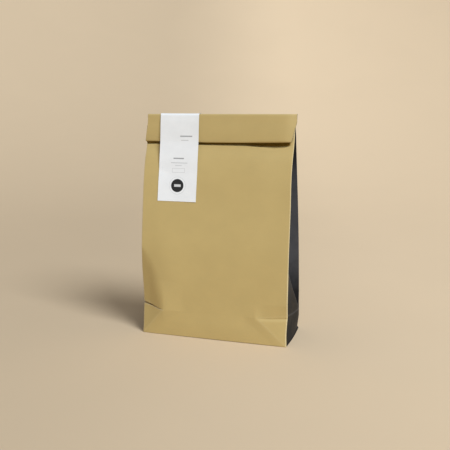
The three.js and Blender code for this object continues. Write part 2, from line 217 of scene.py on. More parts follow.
class BagSizes(bpy.types.PropertyGroup):
    """Sizes of the paper."""

    paper: FloatProperty(
        name="Paper", description="Thickness of the bag's paper", default=0.16 * MM,
        min=0.05 * MM, max=0.3 * MM, precision=5, unit="LENGTH")
    gold_border: FloatProperty(
        name="Gold border", description="How far the gold runs round a fold on to the side",
        default=1.2 * MM, min=0.3 * MM, max=3 * MM, precision=5, unit="LENGTH")
    fold_radius: FloatProperty(
        name="Fold radius", description="Outer radius of the side folds where the bag is open",
        default=0.8 * MM, min=0.3 * MM, max=2 * MM, precision=5, unit="LENGTH")
    waviness: FloatProperty(
        name="Waviness", description="Height of the slow waves in the front and the back",
        default=0.35 * MM, min=0.0, max=2 * MM, precision=5, unit="LENGTH")
    wave_seed: IntProperty(
        name="Wave seed", description="Draws another set of waves", default=5, min=0)
    label_thickness: FloatProperty(
        name="Label", description="Thickness of the label", default=0.25 * MM,
        min=0.1 * MM, max=0.6 * MM, precision=5, unit="LENGTH")
    label_curl: FloatProperty(
        name="Label curl", description="How far the label's long edges bend outwards",
        default=0.2 * MM, min=0.0, max=3 * MM, precision=5, unit="LENGTH")


class BagColours(bpy.types.PropertyGroup):
    """Colours of the papers, of the print and of painted shade, linear."""

    gold: FloatVectorProperty(
        name="Gold paper", description="The bag's front and back", subtype="COLOR",
        default=(0.461, 0.342, 0.137), min=0.0, max=1.0)
    worn: FloatVectorProperty(
        name="Worn fold", description="Gold paper where a fold is rubbed", subtype="COLOR",
        default=(0.59, 0.50, 0.31), min=0.0, max=1.0)
    # Painted shade: this dark gold is painted on the front in the hollow under the flap.
    painted_shade: FloatVectorProperty(
        name="Deep fold", description="Gold paper in the hollow under the flap",
        subtype="COLOR", default=(0.24, 0.15, 0.025), min=0.0, max=1.0)
    black: FloatVectorProperty(
        name="Black paper", description="The gussets", subtype="COLOR",
        default=(0.0295, 0.0295, 0.0315), min=0.0, max=1.0)
    label: FloatVectorProperty(
        name="Label paper", description="The label", subtype="COLOR",
        default=(0.755, 0.766, 0.775), min=0.0, max=1.0)
    ink: FloatVectorProperty(
        name="Ink", description="The marks printed on the label", subtype="COLOR",
        default=(0.009, 0.009, 0.01), min=0.0, max=1.0)
    floor: FloatVectorProperty(
        name="Floor", description="Floor and backdrop", subtype="COLOR",
        default=(0.69, 0.535, 0.36), min=0.0, max=1.0)


class StageSettings(bpy.types.PropertyGroup):
    """The lights and the camera."""

    key_power: FloatProperty(
        name="Key light", description="Strength of the large soft light", default=3.3, min=0.0)
    key_angle: FloatProperty(
        name="Key size", description="How wide the key light looks from the bag",
        default=np.radians(26), min=0.01, subtype="ANGLE")
    fill_power: FloatProperty(
        name="Fill light", description="Power of the soft light in front", default=16.0,
        min=0.0, unit="POWER")
    sky_strength: FloatProperty(
        name="Sky", description="Strength of the even light from all round", default=0.25,
        min=0.0)
    lens: FloatProperty(
        name="Lens", description="The camera's focal length in millimetres", default=52.8,
        min=10.0)


class BagSettings(bpy.types.PropertyGroup):
    """All settings of the bag and its stage."""

    sizes: PointerProperty(type=BagSizes)
    colours: PointerProperty(type=BagColours)
    stage: PointerProperty(type=StageSettings)


# ------------------------------------------------------------------ curves and spacing

def smooth_line(points):
    """A smooth curve through (position, value) points, as a function of positions."""
    at, value = np.array(points, float).T
    last = len(at) - 1
    here = np.arange(last + 1)
    before, after = np.maximum(here - 1, 0), np.minimum(here + 1, last)
    slope = (value[after] - value[before]) / (at[after] - at[before])

    def curve(position):
        position = np.clip(position, at[0], at[-1])
        i = np.clip(np.searchsorted(at, position) - 1, 0, last - 1)
        reach = at[i + 1] - at[i]
        s = (position - at[i]) / reach
        straight = value[i] + (value[i + 1] - value[i]) * s * s * (3 - 2 * s)
        return straight + s * (1 - s) * reach * ((1 - s) * slope[i] - s * slope[i + 1])

    return curve


front_fold_line = smooth_line(FRONT_FOLD)
back_fold_line = smooth_line(BACK_FOLD)
belly = smooth_line(BELLY)
root_line = smooth_line(ROOT_Y)
flap_foot = smooth_line(FLAP_EDGE_Z)
flap_edge_y = smooth_line(FLAP_EDGE_Y)
flap_thickness = smooth_line(FLAP_THICKNESS)
hollow_height = smooth_line(HOLLOW_HEIGHT)
hollow_depth = smooth_line(HOLLOW_DEPTH)
label_path_y = smooth_line(LABEL_PATH)
left_fold_out = smooth_line(LEFT_FOLD_OUT)
right_fold_in = smooth_line(RIGHT_FOLD_IN)


def lerp(a, b, share):
    return a + (b - a) * share


def unit(vectors):
    return vectors / np.linalg.norm(vectors, axis=-1)[..., None]


def run_along(points):
    """Distances along a line of points, from its start."""
    steps = np.linalg.norm(np.diff(points, axis=0), axis=1)
    return np.concatenate([[0], np.cumsum(steps)])


def smoothstep(value, low, high):
    """From 0 at low to 1 at high, level at both; low may be the greater of the two."""
    s = np.clip((value - low) / (high - low), 0, 1)
    return s * s * (3 - 2 * s)


def near(distance, reach):
    """From 1 at no distance down to next to nothing at twice the reach."""
    return np.exp(-((distance / reach) ** 2))


def spaced(*stretches):
    """Positions along a line. Each stretch but the last is (start, longest step)."""
    stops = []
    for (start, step), (end, _) in zip(stretches, stretches[1:]):
        count = int(np.ceil((end - start) / step))
        stops.extend(np.linspace(start, end, count, endpoint=False))
    return np.array([*stops, stretches[-1][0]])


# Columns across the front and the back, and stations up the body, by height.
END = None
FRONT_COLUMNS = spaced((-110, 0.6), (-107, 1.8), (-62, 4), (58, 1.8), (107, 0.6), (110, END))
BACK_COLUMNS = spaced(
    (-110, 0.6), (-107, 2.7), (-62, 6), (BACK_SEAM_X - 0.5, 0.25), (BACK_SEAM_X + 0.5, 6),
    (62, 2.7), (107, 0.6), (110, END))
COLUMNS = np.union1d(FRONT_COLUMNS, BACK_COLUMNS)
LEVELS = spaced(
    (0, 0.25), (1, 1.3), (6, 1.9), (42, 1.0), (44.4, 0.15), (47.4, 1.0), (50, 1.9),
    (140, 3.2), (262, 2), (277, 0.3), (284, 1.5), (NECK_LOW, 1.5), (ROOT_Z, END))
# Stations over the top fold, down the flap, round its lower edge and up behind it.
ROLL_STEPS, FLAP_STEPS, TURN_STEPS, RETURN_STEPS = 21, 11, 8, 7
ROLL_SHARES = np.linspace(1, 0, ROLL_STEPS + 1)[1:]
FLAP_SHARES = np.linspace(0, 1, FLAP_STEPS + 1)[1:]
TURN_ANGLES = np.linspace(0, np.pi, TURN_STEPS + 1)[1:]
RETURN_SHARES = np.linspace(0, 1, RETURN_STEPS + 1)[1:]
# Points along a side fold, its gold border, and the flat part and the walls of a gusset.
ARC_STEPS, BORDER_STEPS, FLAT_STEPS, WALL_STEPS = 4, 2, 16, 14
EASED_LENGTH = 40  # of a stretch, from which its points are closest at its ends
CREASE_ROOM = 3  # least distance from a gusset's front edge to its crease
FOLD_ROUNDS = 4  # of working out a fold's angle and its end from each other
TINY = 0.01  # keeps a division by nothing away, and a comparison safe


# ------------------------------------------------------------------ the shape of the paper

def corner_relief(from_side, z, corner):
    """Relief of a bottom corner, outwards: a ridge runs up from the corner to the crease, and
    the facet beside it slopes back to the side fold."""
    across, up = from_side / corner["reach"], z / CREASE_Z
    ridge, push, push_above = corner["ridge"], corner["push"], corner["push_above"]
    fade = corner["fade"]
    beside = (ridge + push) * across - push * up
    at_crease = np.where(
        across < 1, (ridge + push_above) * across - push_above,
        ridge * np.clip(1 - (across - 1) / fade, 0, 1))
    under = ridge * np.minimum(across, 1) * np.clip(1 - (across - up) / fade, 0, 1)
    above = at_crease * np.clip(1 - (up - 1) / fade, 0, 1)
    relief = np.where(up > 1, above, np.where(up > across, beside, under))
    lip = corner["lip"] * smoothstep(across, *LIP_ENDS) * np.where(
        up > 1, np.clip(1 - (up - 1) / fade, 0, 1),
        smoothstep(z, CREASE_Z - LIP_HEIGHT, CREASE_Z))
    return relief - lip


def under_dent_top(z):
    """1 at the crease, and 0 at the top of the pushed-in facet and above it."""
    return np.clip((DENT["top"] - z) / (DENT["top"] - CREASE_Z), 0, 1)


def soft_ramp(value, soft):
    """The value where it is above 0 and else 0, rounded as far as soft to both sides of 0."""
    return np.where(value > soft, value, np.maximum(value + soft, 0) ** 2 / (4 * soft))


def facet_depth(from_side, z):
    """Depth of the facet that is pushed in above the crease."""
    height = under_dent_top(z)
    inside = 1 - from_side / (DENT["reach"] * height ** DENT["taper"] + TINY)
    sloping = soft_ramp(inside, lerp(*DENT["softness"], height))
    deepest = DENT["depth"] * (1 - (1 - height) ** DENT["rise"])
    return deepest * sloping * (z > CREASE_Z - TINY)


def slot_depth(from_side, z):
    """Depth of the slot along the crease, under the pushed-in facet."""
    narrowing = np.clip(1 - from_side / GROOVE["reach"], 0, 1)
    over = z - CREASE_Z
    width = GROOVE["width"] * narrowing ** GROOVE["width_taper"]
    return GROOVE["depth"] * narrowing ** GROOVE["depth_taper"] * np.minimum(
        smoothstep(over, -GROOVE["wall"], 0), smoothstep(over, width, width - GROOVE["wall"]))


def left_swell(from_side, z):
    """How far the panel stands out beside the pushed-in facet."""
    swell = LEFT_SWELL
    rise = swell["rise"] * (1 - near(from_side, swell["reach"]))
    fall = smoothstep(from_side, swell["end"], swell["reach"])
    return rise * fall * near(z - swell["middle"], swell["spread"])


def dropped(from_side, z, at_fold, inwards):
    """Heights: the crease drops, and rows near it follow."""
    share = np.where(z < CREASE_Z, z / CREASE_Z, under_dent_top(z))
    return z - share * (at_fold + inwards * smoothstep(from_side, DROP_START, DROP_END))


def back_half_width(z):
    """From the middle to the back's side folds."""
    return HALF_WIDTH - np.interp(z, *np.transpose(PINCH))


def front_fold(z, column):
    """Where the front's folds lie; column is -1 at the left and 1 at the right."""
    lean = lerp(FRONT_LEAN_LEFT, FRONT_LEAN_RIGHT, (column + 1) / 2)
    return front_fold_line(z) + lean * np.sin(np.pi * np.clip(z / GUSSET_TOP, 0, 1))


def foot_rounding(z, radius):
    """How far a wall curves inwards over the rounded fold at the floor."""
    return radius - np.sqrt(np.maximum(radius**2 - np.maximum(radius - z, 0) ** 2, 0))


def foot_lift(x):
    """How far the front's lower edge hangs clear of the floor, between its corners."""
    share = np.clip((x + FRONT_HALF_WIDTH) / (2 * FRONT_HALF_WIDTH), 0, 1)
    return FOOT_LIFT * np.sin(np.pi * share**FOOT_LIFT_SKEW) ** 0.5


class Waves:
    """Slow waves in a sheet of paper, flat at its edges."""

    def __init__(self, seed, height):
        draw = np.random.default_rng(seed)
        self.height = height / np.sqrt(WAVE_COUNT)
        self.phase = draw.uniform(0, 2 * np.pi, WAVE_COUNT)
        angle = draw.uniform(-WAVE_TURN, WAVE_TURN, WAVE_COUNT)
        turns = 2 * np.pi / draw.uniform(*WAVE_LENGTHS, WAVE_COUNT)
        self.along_x, self.along_z = turns * np.cos(angle), turns * np.sin(angle)

    def __call__(self, x, z):
        angle = self.along_x * x[..., None] + self.along_z * z[..., None] + self.phase
        window = smoothstep(HALF_WIDTH - np.abs(x), 0, WAVE_ROOM_SIDE) * smoothstep(
            z, 0, WAVE_ROOM_FOOT)
        under_top = smoothstep(WAVE_TOP - z, 0, WAVE_ROOM_TOP)
        return self.height * window * under_top * np.sin(angle).sum(-1)


class PaperTube:
    """The bag as a tube of paper. Its stations go up the body, over the top fold, down the
    flap, round its lower edge and up behind it. At each station there is a line across the
    front and one across the back, and (a, d) places a point: a across, d from the front."""

    def __init__(self, sizes):
        self.paper = sizes.paper / MM
        self.border = sizes.gold_border / MM
        self.open_radius = sizes.fold_radius / MM
        self.flat_radius = self.paper + LAYER_GAP / 2
        self.stack = FLAT_LAYERS * self.paper + 2 * LAYER_GAP + TUCK_GAP
        self.front_waves = Waves(sizes.wave_seed, sizes.waviness / MM)
        self.back_waves = Waves(sizes.wave_seed + 1, sizes.waviness / MM)
        self.back = self.back_lines()
        self.front = self.front_lines()
        ends = np.linalg.norm(self.back - self.front, axis=2)[:, [0, -1]]
        self.span = ends.mean(1)
        self.opening = np.clip((self.span - self.stack) / OPEN_SPAN, 0, 1)
        self.along = run_along(self.back[:, len(COLUMNS) // 2])

    def front_y(self, x, z):
        column = x / FRONT_HALF_WIDTH
        from_side = FRONT_HALF_WIDTH - np.abs(x)
        relief = np.where(
            x < 0,
            corner_relief(from_side, z, LEFT_CORNER) + left_swell(from_side, z)
            - facet_depth(from_side, z) - slot_depth(from_side, z),
            corner_relief(from_side, z, RIGHT_CORNER))
        crown = belly(z) * (1 - column**2) + self.front_waves(x, z)
        y = front_fold(z, column) - crown - relief + foot_rounding(z, self.open_radius)

        flap_back = flap_edge_y(x) + flap_thickness(x) + FLAP_ROOM
        over = z - flap_foot(x) + hollow_height(x)
        behind = np.maximum(flap_back - self.unfolded_y(x), 0)
        depth = behind + hollow_depth(x) * smoothstep(over, *HOLLOW_TOP[::-1])
        return y + depth * smoothstep(over, -HOLLOW_EDGE, HOLLOW_EDGE)

    def unfolded_y(self, x):
        """Where the front would be, at the height of the flap's lower edge."""
        z = flap_foot(x)
        column = x / FRONT_HALF_WIDTH
        return front_fold(z, column) - belly(z) * (1 - column**2)

    def back_y(self, x, z):
        half = back_half_width(z)
        relief = corner_relief(half - np.abs(x), z, BACK_CORNER)
        crown = belly(z) * (1 - (x / half) ** 2) + self.back_waves(x, z)
        overlap = np.clip(1 - (BACK_SEAM_X - x) / SEAM_OVERLAP, 0, 1)
        seam = SEAM_STEP * overlap * (x < BACK_SEAM_X)
        pinch = END_PINCH * smoothstep(z, END_PINCH_LOW, ROOT_Z) * smoothstep(
            x, HALF_WIDTH - END_PINCH_REACH, HALF_WIDTH)
        foot = foot_rounding(z, self.open_radius)
        return back_fold_line(z) + crown + relief + seam - pinch - foot

    def back_lines(self):
        """The outer face of the back, and of what it becomes past the top fold."""
        column = COLUMNS / HALF_WIDTH
        right = (column + 1) / 2

        z = LEVELS[:, None]
        x = column * back_half_width(z)
        body = np.stack([
            x, self.back_y(x, z), dropped(back_half_width(z) - np.abs(x), z, *BACK_DROP)], -1)

        share = ROLL_SHARES[:, None]
        power = np.where(share < 0.5, FRONT_ROLL_POWER, BACK_ROLL_POWER)

        def rounded(value):
            return np.sign(value) * np.abs(value) ** (2 / power)

        top = body[-1, :, 1]
        root_y = root_line(COLUMNS)
        rise = HEIGHT - ROOT_Z + TOP_TILT * column
        radius = flap_thickness(COLUMNS) / 2
        edge_z = flap_foot(COLUMNS) + radius
        lean = (root_y - flap_edge_y(COLUMNS)) / (ROOT_Z - edge_z)
        upright = root_y + lean * rise  # where an upright front of the roll would end
        raised = rise * rounded(np.sin(np.pi * share))
        roll = np.stack(np.broadcast_arrays(
            COLUMNS + lerp(*TOP_SHIFT, right) * smoothstep(share, 1, 0.5),
            (top + upright) / 2 - (top - upright) / 2 * rounded(np.cos(np.pi * share))
            - lean * (rise - raised) * (share < 0.5),
            ROOT_Z + raised), -1)

        root = roll[-1]
        edge = np.stack([
            COLUMNS - FLAP_SKEW - FLAP_DRAW_IN * right**2, flap_edge_y(COLUMNS), edge_z], -1)
        share = FLAP_SHARES[:, None, None]
        flap = lerp(root, edge, share)
        flap[..., 1] -= FLAP_BOW * np.sin(np.pi * FLAP_SHARES[:, None])

        down = unit(edge - root)
        inwards = np.stack([np.zeros_like(column), -down[:, 2], down[:, 1]], -1)
        angle = TURN_ANGLES[:, None, None]
        turn = edge + radius[:, None] * ((1 - np.cos(angle)) * inwards + np.sin(angle) * down)
        back_up = turn[-1] - RETURN_SHARES[:, None, None] * FLAP_RETURN * down
        return np.concatenate([body, roll, flap, turn, back_up])

    def front_lines(self):
        """The outer face of the front; past the neck it lies against the back's layers."""
        along = unit(np.gradient(self.back[..., 1:], axis=0))
        inwards = np.stack([np.zeros(along.shape[:2]), -along[..., 1], along[..., 0]], -1)
        front = self.back + self.stack * inwards

        count = len(LEVELS)
        z = LEVELS[:, None]
        x = COLUMNS / HALF_WIDTH * FRONT_HALF_WIDTH * np.ones_like(z)
        from_side = FRONT_HALF_WIDTH - np.abs(x)
        at_fold, inwards = (np.where(x < 0, *pair) for pair in zip(LEFT_DROP, RIGHT_DROP))
        body = np.stack([x, self.front_y(x, z), dropped(from_side, z, at_fold, inwards)], -1)
        at_left = self.front_y(np.full_like(z, -FRONT_HALF_WIDTH), z)
        pushed = at_left - front_fold(z, -1) - slot_depth(0, z)
        out = DRAWN_OUT * pushed * smoothstep(z, *DRAWN_OUT_TOP[::-1]) + left_fold_out(z)
        at_side = smoothstep(np.abs(x), FRONT_HALF_WIDTH - MOVED_WIDTH, FRONT_HALF_WIDTH)
        body[..., 0] -= at_side * np.where(x < 0, out, right_fold_in(z))
        body[..., 2] += foot_lift(x) * np.clip(1 - z / FOOT_LIFT_HEIGHT, 0, 1)
        joined = smoothstep(LEVELS, NECK_LOW, NECK_HIGH)[:, None, None]
        front[:count] = lerp(body, front[:count], joined)
        return front

    def place(self, station, points):
        """Points in space from (a, d) points of a station."""
        across, depth = points.T
        if station < len(LEVELS):
            foot = foot_rounding(LEVELS[station], self.open_radius)
            across = across * (1 - foot / HALF_WIDTH)
        inside = np.clip(across, -HALF_WIDTH, HALF_WIDTH)
        front, back = (
            np.stack([np.interp(inside, COLUMNS, line[station, :, k]) for k in range(3)], -1)
            for line in (self.front, self.back))
        placed = lerp(front, back, (depth / self.span[station])[:, None])
        placed[:, 0] += across - inside
        return placed

    def side_line(self, station, side):
        """The outer line of a side at a station, seen with the side to the right, in three
        parts: the front's fold, its border, and the gusset with the back's fold."""
        span, opening = self.span[station], self.opening[station]
        z = LEVELS[station] if station < len(LEVELS) else ROOT_Z
        radius = lerp(self.flat_radius, self.open_radius, opening)
        fold = lerp(TUCK_GAP, TUCK_FOLD, opening)
        start = (self.open_radius + self.border) * min(1, span / OPEN_START)

        # The tuck: a flat part behind the front fold, then a wall in and a wall out.
        slant_front, slant_back = side["slant"]
        room = span - 2 * start
        slanted = room * (slant_front - z) / (slant_front - slant_back)
        flat = np.clip(slanted, 0, max(room - LEAST_TUCK, 0))
        run = (room - flat - fold) / 2
        wall = (2 * HALF_DEPTH + SPARE_PAPER - 2 * start - flat - fold) / 2
        depth = np.sqrt(max(wall**2 - run**2, 0)) * smoothstep(z, 0, slant_back)
        tuck = np.array([HALF_WIDTH - depth, start + flat + run])
        tuck_end = tuck + [0, fold]

        def seen_from_back(points):
            return np.stack([points[..., 0], span - points[..., 1]], -1)

        front_fold_points, out = fold_arc(tuck, radius, flat / LEAST_TUCK)
        back_fold_points, _ = fold_arc(seen_from_back(tuck_end), radius, 0)
        border = np.linspace(0, self.border, BORDER_STEPS + 1)[1:, None]
        front_border = front_fold_points[-1] + border * out

        first = front_border[-1] + BUTT_GAP * out
        back_fold_points = seen_from_back(back_fold_points)[::-1]
        inwards = (tuck - first) / np.linalg.norm(tuck - first)
        crease = lerp(
            first + CREASE_ROOM * inwards,
            np.array([HALF_WIDTH, start + flat]),
            smoothstep(flat, 0, CREASE_ROOM))
        bow = WALL_BOW * opening * np.sin(np.pi * np.clip(z / GUSSET_TOP, 0, 1))
        gusset = np.concatenate([
            stretch(first, crease, FLAT_STEPS), stretch(crease, tuck, WALL_STEPS, bow),
            [tuck], stretch(tuck_end, back_fold_points[0], WALL_STEPS, bow),
            back_fold_points])
        parts = [front_fold_points, front_border, gusset]

        band_front, band_back = side["band"]
        for part in parts:
            along = part[:, 1] / span
            low = np.clip(1 - z / lerp(band_front, band_back, along), 0, 1)
            part[:, 0] += SIDE_SWELL * np.sin(np.pi * along) * low
        return parts

    def section(self, station):
        """The tube's outer line at a station, piece by piece, anticlockwise from above."""
        span = self.span[station]
        right = self.side_line(station, RIGHT_SIDE)
        left = [mirrored(part)[::-1] for part in self.side_line(station, LEFT_SIDE)]
        radius = lerp(self.flat_radius, self.open_radius, self.opening[station])
        front = FRONT_COLUMNS * (1 - radius / HALF_WIDTH)
        back = BACK_COLUMNS[::-1] * (1 - (radius + BUTT_GAP) / HALF_WIDTH)
        front = np.stack([front, np.zeros_like(front)], -1)
        back = np.stack([back, np.full_like(back, span)], -1)
        return {
            "front": np.concatenate(
                [left[1], left[0][:-1], front, right[0][1:], right[1]]),
            "right": right[2], "back": back, "left": left[2],
        }

    def sheet(self, part, stations):
        """A part's outer and inner faces as grids of points, and its grids of paper
        coordinates: millimetres across, and along the tube."""
        outer, inner, across = [], [], []
        for station in stations:
            line = self.section(station)[part]
            outer.append(self.place(station, line))
            inner.append(self.place(station, moved_in(line, self.paper)))
            run = run_along(line)
            across.append(run - run[-1] / 2)
        along = np.broadcast_to(self.along[stations][:, None], np.shape(across))
        return np.array(outer), np.array(inner), np.stack([across, along], -1)


def stretch(start, end, steps, bow=0):
    """Points from start up to but not including end, bowed out of the bag."""
    length = np.linalg.norm(end - start)
    share = np.linspace(0, 1, steps, endpoint=False)[:, None]
    share = lerp(share, smoothstep(share, 0, 1), min(length / EASED_LENGTH, 1))
    along = (end - start) / length
    outwards = np.array([along[1], -along[0]])
    return lerp(start, end, share) + bow * np.sin(np.pi * share) * outwards


def fold_arc(target, radius, flat_share):
    """A rounded fold from the front's direction towards target, and its end's direction.
    Where flat_share is 1 it leads straight back along the side instead."""
    angle = np.pi / 2
    for _ in range(FOLD_ROUNDS):
        end = np.array([
            HALF_WIDTH - radius + radius * np.sin(angle), radius - radius * np.cos(angle)])
        towards = target - end
        angle = np.arctan2(towards[1], towards[0])
    angle = lerp(angle, np.pi / 2, np.clip(flat_share, 0, 1))
    sweep = np.linspace(0, angle, ARC_STEPS + 1)
    points = np.stack([
        HALF_WIDTH - radius + radius * np.sin(sweep), radius - radius * np.cos(sweep)], -1)
    return points, np.array([np.cos(angle), np.sin(angle)])


def at_rows(grid, rows):
    """A grid's points at rows that may lie between two of its own."""
    low = np.minimum(rows.astype(int), len(grid) - 2)
    return lerp(grid[low], grid[low + 1], (rows - low)[:, None, None])


def mirrored(points):
    return points * [-1, 1]


def moved_in(line, distance):
    """A section's line moved into the bag, with mitred corners."""
    along = unit(np.diff(line, axis=0))
    inwards = np.stack([-along[:, 1], along[:, 0]], -1)
    before = np.concatenate([inwards[:1], inwards])
    after = np.concatenate([inwards, inwards[-1:]])
    mitre = (before + after) / (1 + (before * after).sum(1))[:, None]
    return line + distance * mitre


# ------------------------------------------------------------------ meshes

# The wear attribute also carries painted shade: below 0, the gold is darkened in the hollow
# under the flap.
PAPER_PLACE, WEAR_AND_SHADE = "paper_place", "wear"  # attributes of the points
SHARP_ANGLE = np.radians(38)


def quads(grid):
    """Faces between the numbered points of a grid."""
    corners = (grid[:-1, :-1], grid[:-1, 1:], grid[1:, 1:], grid[1:, :-1])
    return np.stack(corners, -1).reshape(-1, 4)


class Sheets:
    """Closed sheets of paper gathered into one mesh. Each point also has its place on the
    paper, in metres, and its wear, from 0 to 1, or down to -1 as painted shade in a hollow."""

    def __init__(self):
        self.points, self.faces, self.places, self.wear = [], [], [], []
        self.count = 0

    def add(self, outer, inner, places, wear):
        rows, columns = outer.shape[:2]
        front = self.count + np.arange(rows * columns).reshape(rows, columns)
        back = front + rows * columns
        for grid in (
                front, back[:, ::-1],
                np.stack([back[:, 0], front[:, 0]], 1),
                np.stack([front[:, -1], back[:, -1]], 1),
                np.stack([back[0], front[0]]), np.stack([front[-1], back[-1]])):
            self.faces.extend(quads(grid).tolist())
        for face in (outer, inner):
            self.points.append(face.reshape(-1, 3))
            self.places.append(places.reshape(-1, 2))
            self.wear.append(np.broadcast_to(wear, (rows, columns)).ravel())
        self.count += 2 * rows * columns

    def add_flat(self, outline, low, high):
        """A level sheet between two heights, its outline anticlockwise from above."""
        outline = np.array(outline, float)
        count = len(outline)
        lower = self.count + np.arange(count)
        upper = lower + count
        self.faces.append(lower[::-1].tolist())
        self.faces.append(upper.tolist())
        for i in range(count):
            j = (i + 1) % count
            self.faces.append([lower[i], lower[j], upper[j], upper[i]])
        for z in (low, high):
            self.points.append(np.column_stack([outline, np.full(count, z)]))
            self.places.append(outline)
            self.wear.append(np.zeros(count))
        self.count += 2 * count

    def make(self, name, material):
        mesh = bpy.data.meshes.new(name)
        mesh.from_pydata((np.concatenate(self.points) * MM).tolist(), [], self.faces)
        places = np.concatenate(self.places) * MM
        places = np.column_stack([places, np.zeros(len(places))])
        mesh.attributes.new(PAPER_PLACE, "FLOAT_VECTOR", "POINT").data.foreach_set(
            "vector", places.astype(np.float32).ravel())
        mesh.attributes.new(WEAR_AND_SHADE, "FLOAT", "POINT").data.foreach_set(
            "value", np.concatenate(self.wear).astype(np.float32))
        mesh.materials.append(material)
        return put_in_scene(name, mesh)


def put_in_scene(name, mesh):
    """A new object for a mesh, which is smooth but for its sharp folds."""
    mesh.shade_smooth()
    mesh.set_sharp_from_angle(angle=SHARP_ANGLE)
    if mesh.validate():
        raise RuntimeError(f"{name}: the mesh had faults")
    piece = bpy.data.objects.new(name, mesh)
    bpy.context.scene.collection.objects.link(piece)
    return piece


def dress(piece, node):
    """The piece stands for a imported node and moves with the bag."""
    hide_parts(node)
    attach(piece, BODY)


# ------------------------------------------------------------------ wear, painted shade and the base

FOLD_WEAR_REACH = 0.9
CREASE_WEAR_REACH = 0.8
HOLLOW_SHADE = 1.6  # height and depth past which the shade painted in the hollow is darkest
# Creases of the front, as their ends' (x, z), and how worn they are.
FRONT_CREASES = [
    ((-111, 42.6), (-76, 38.2), 0.9),
    ((-111, 46.6), (-98, 45.4), 0.4),
    ((66, 38.5), (109, 44), 0.15),
    ((-106, 4), (-78, 36), 0.18),
    ((106, 3), (70, 35), 0.25),
]
# Of the top fold and of the flap's lower edge, and how far it reaches along the tube.
TOP_WEAR, TOP_WEAR_REACH, EDGE_WEAR, EDGE_WEAR_REACH = 0.03, 3, 0.3, 0.8
# Of a gusset: at its tuck, its slanting crease, its foot's crease and the fold to the back.
GUSSET_WEAR = {"tuck": 0.4, "slant": 0.6, "foot": 0.7, "back": 0.3}
OPENED = (0.5, 1)  # a gusset's creases are worn where it is opened, between these shares
FOOT_CREASE_DIP = -2
FOOT_CREASE_ZONE = (24, 44.4)  # heights between which a gusset has more rows
FOOT_CREASE_STEP = 0.3  # of a station, between those rows

# Layers of the base, upwards from the floor: the back's flap, the front's flap and the
# gussets' triangles. Each is this far from the one under it.
BASE_LAYER = 0.2
BASE_SIDE_GAP = 0.9  # from the outer size at the floor
FLAP_REACH_BACK, FLAP_REACH_FRONT = 54, 50  # of the base's flaps, from their own fold
TRIANGLE_PAST = 2  # how far the gussets' triangles go past the fold of the flaps' corners


def fold_wear(places):
    """Wear of a gold sheet along its side folds."""
    across = np.abs(places[..., 0])
    fold_at = across[:, BORDER_STEPS + ARC_STEPS // 2][:, None]
    return near(across - fold_at, FOLD_WEAR_REACH)


def line_wear(points, start, end):
    """Wear along a crease of the front or back, given by its ends' (x, z)."""
    start, end = np.array(start, float), np.array(end, float)
    flat = points[..., [0, 2]] - start
    length = np.linalg.norm(end - start)
    along = (end - start) / length
    run = flat @ along
    off = flat @ np.array([-along[1], along[0]])
    beyond = np.maximum(np.maximum(-run, run - length), 0)
    return near(np.hypot(off, beyond), CREASE_WEAR_REACH)


def painted_hollow_shade(x, z):
    """From 0 to 1, how much shade is painted on the front in the hollow under the flap."""
    over = z - flap_foot(x) + hollow_height(x)
    return smoothstep(over, 0, HOLLOW_SHADE) * smoothstep(hollow_depth(x), 0, HOLLOW_SHADE)


def base_flap(reach, sign):
    """Outline of a flap of the base, with corners cut at 45 degrees; sign 1 is the back's."""
    half, edge = HALF_WIDTH - BASE_SIDE_GAP, HALF_DEPTH - BASE_SIDE_GAP
    corners = [
        (half, edge), (-half, edge), (-half + edge, 0), (-half + edge, edge - reach),
        (half - edge, edge - reach), (half - edge, 0)]
    outline = [(x, sign * y) for x, y in corners]
    return outline if sign > 0 else outline[::-1]


def base_triangle(sign):
    """Outline of a gusset's triangle in the base; sign 1 is the right side's."""
    half, edge = HALF_WIDTH - BASE_SIDE_GAP, HALF_DEPTH - BASE_SIDE_GAP
    outline = [(half, -edge), (half, edge), (half - edge - TRIANGLE_PAST, 0)]
    return outline if sign > 0 else [(-x, y) for x, y in outline[::-1]]


# ------------------------------------------------------------------ node helpers

MIX_SHARE, MIX_A, MIX_B, MIX_RESULT = 0, 6, 7, 2  # sockets of a Mix node for colours


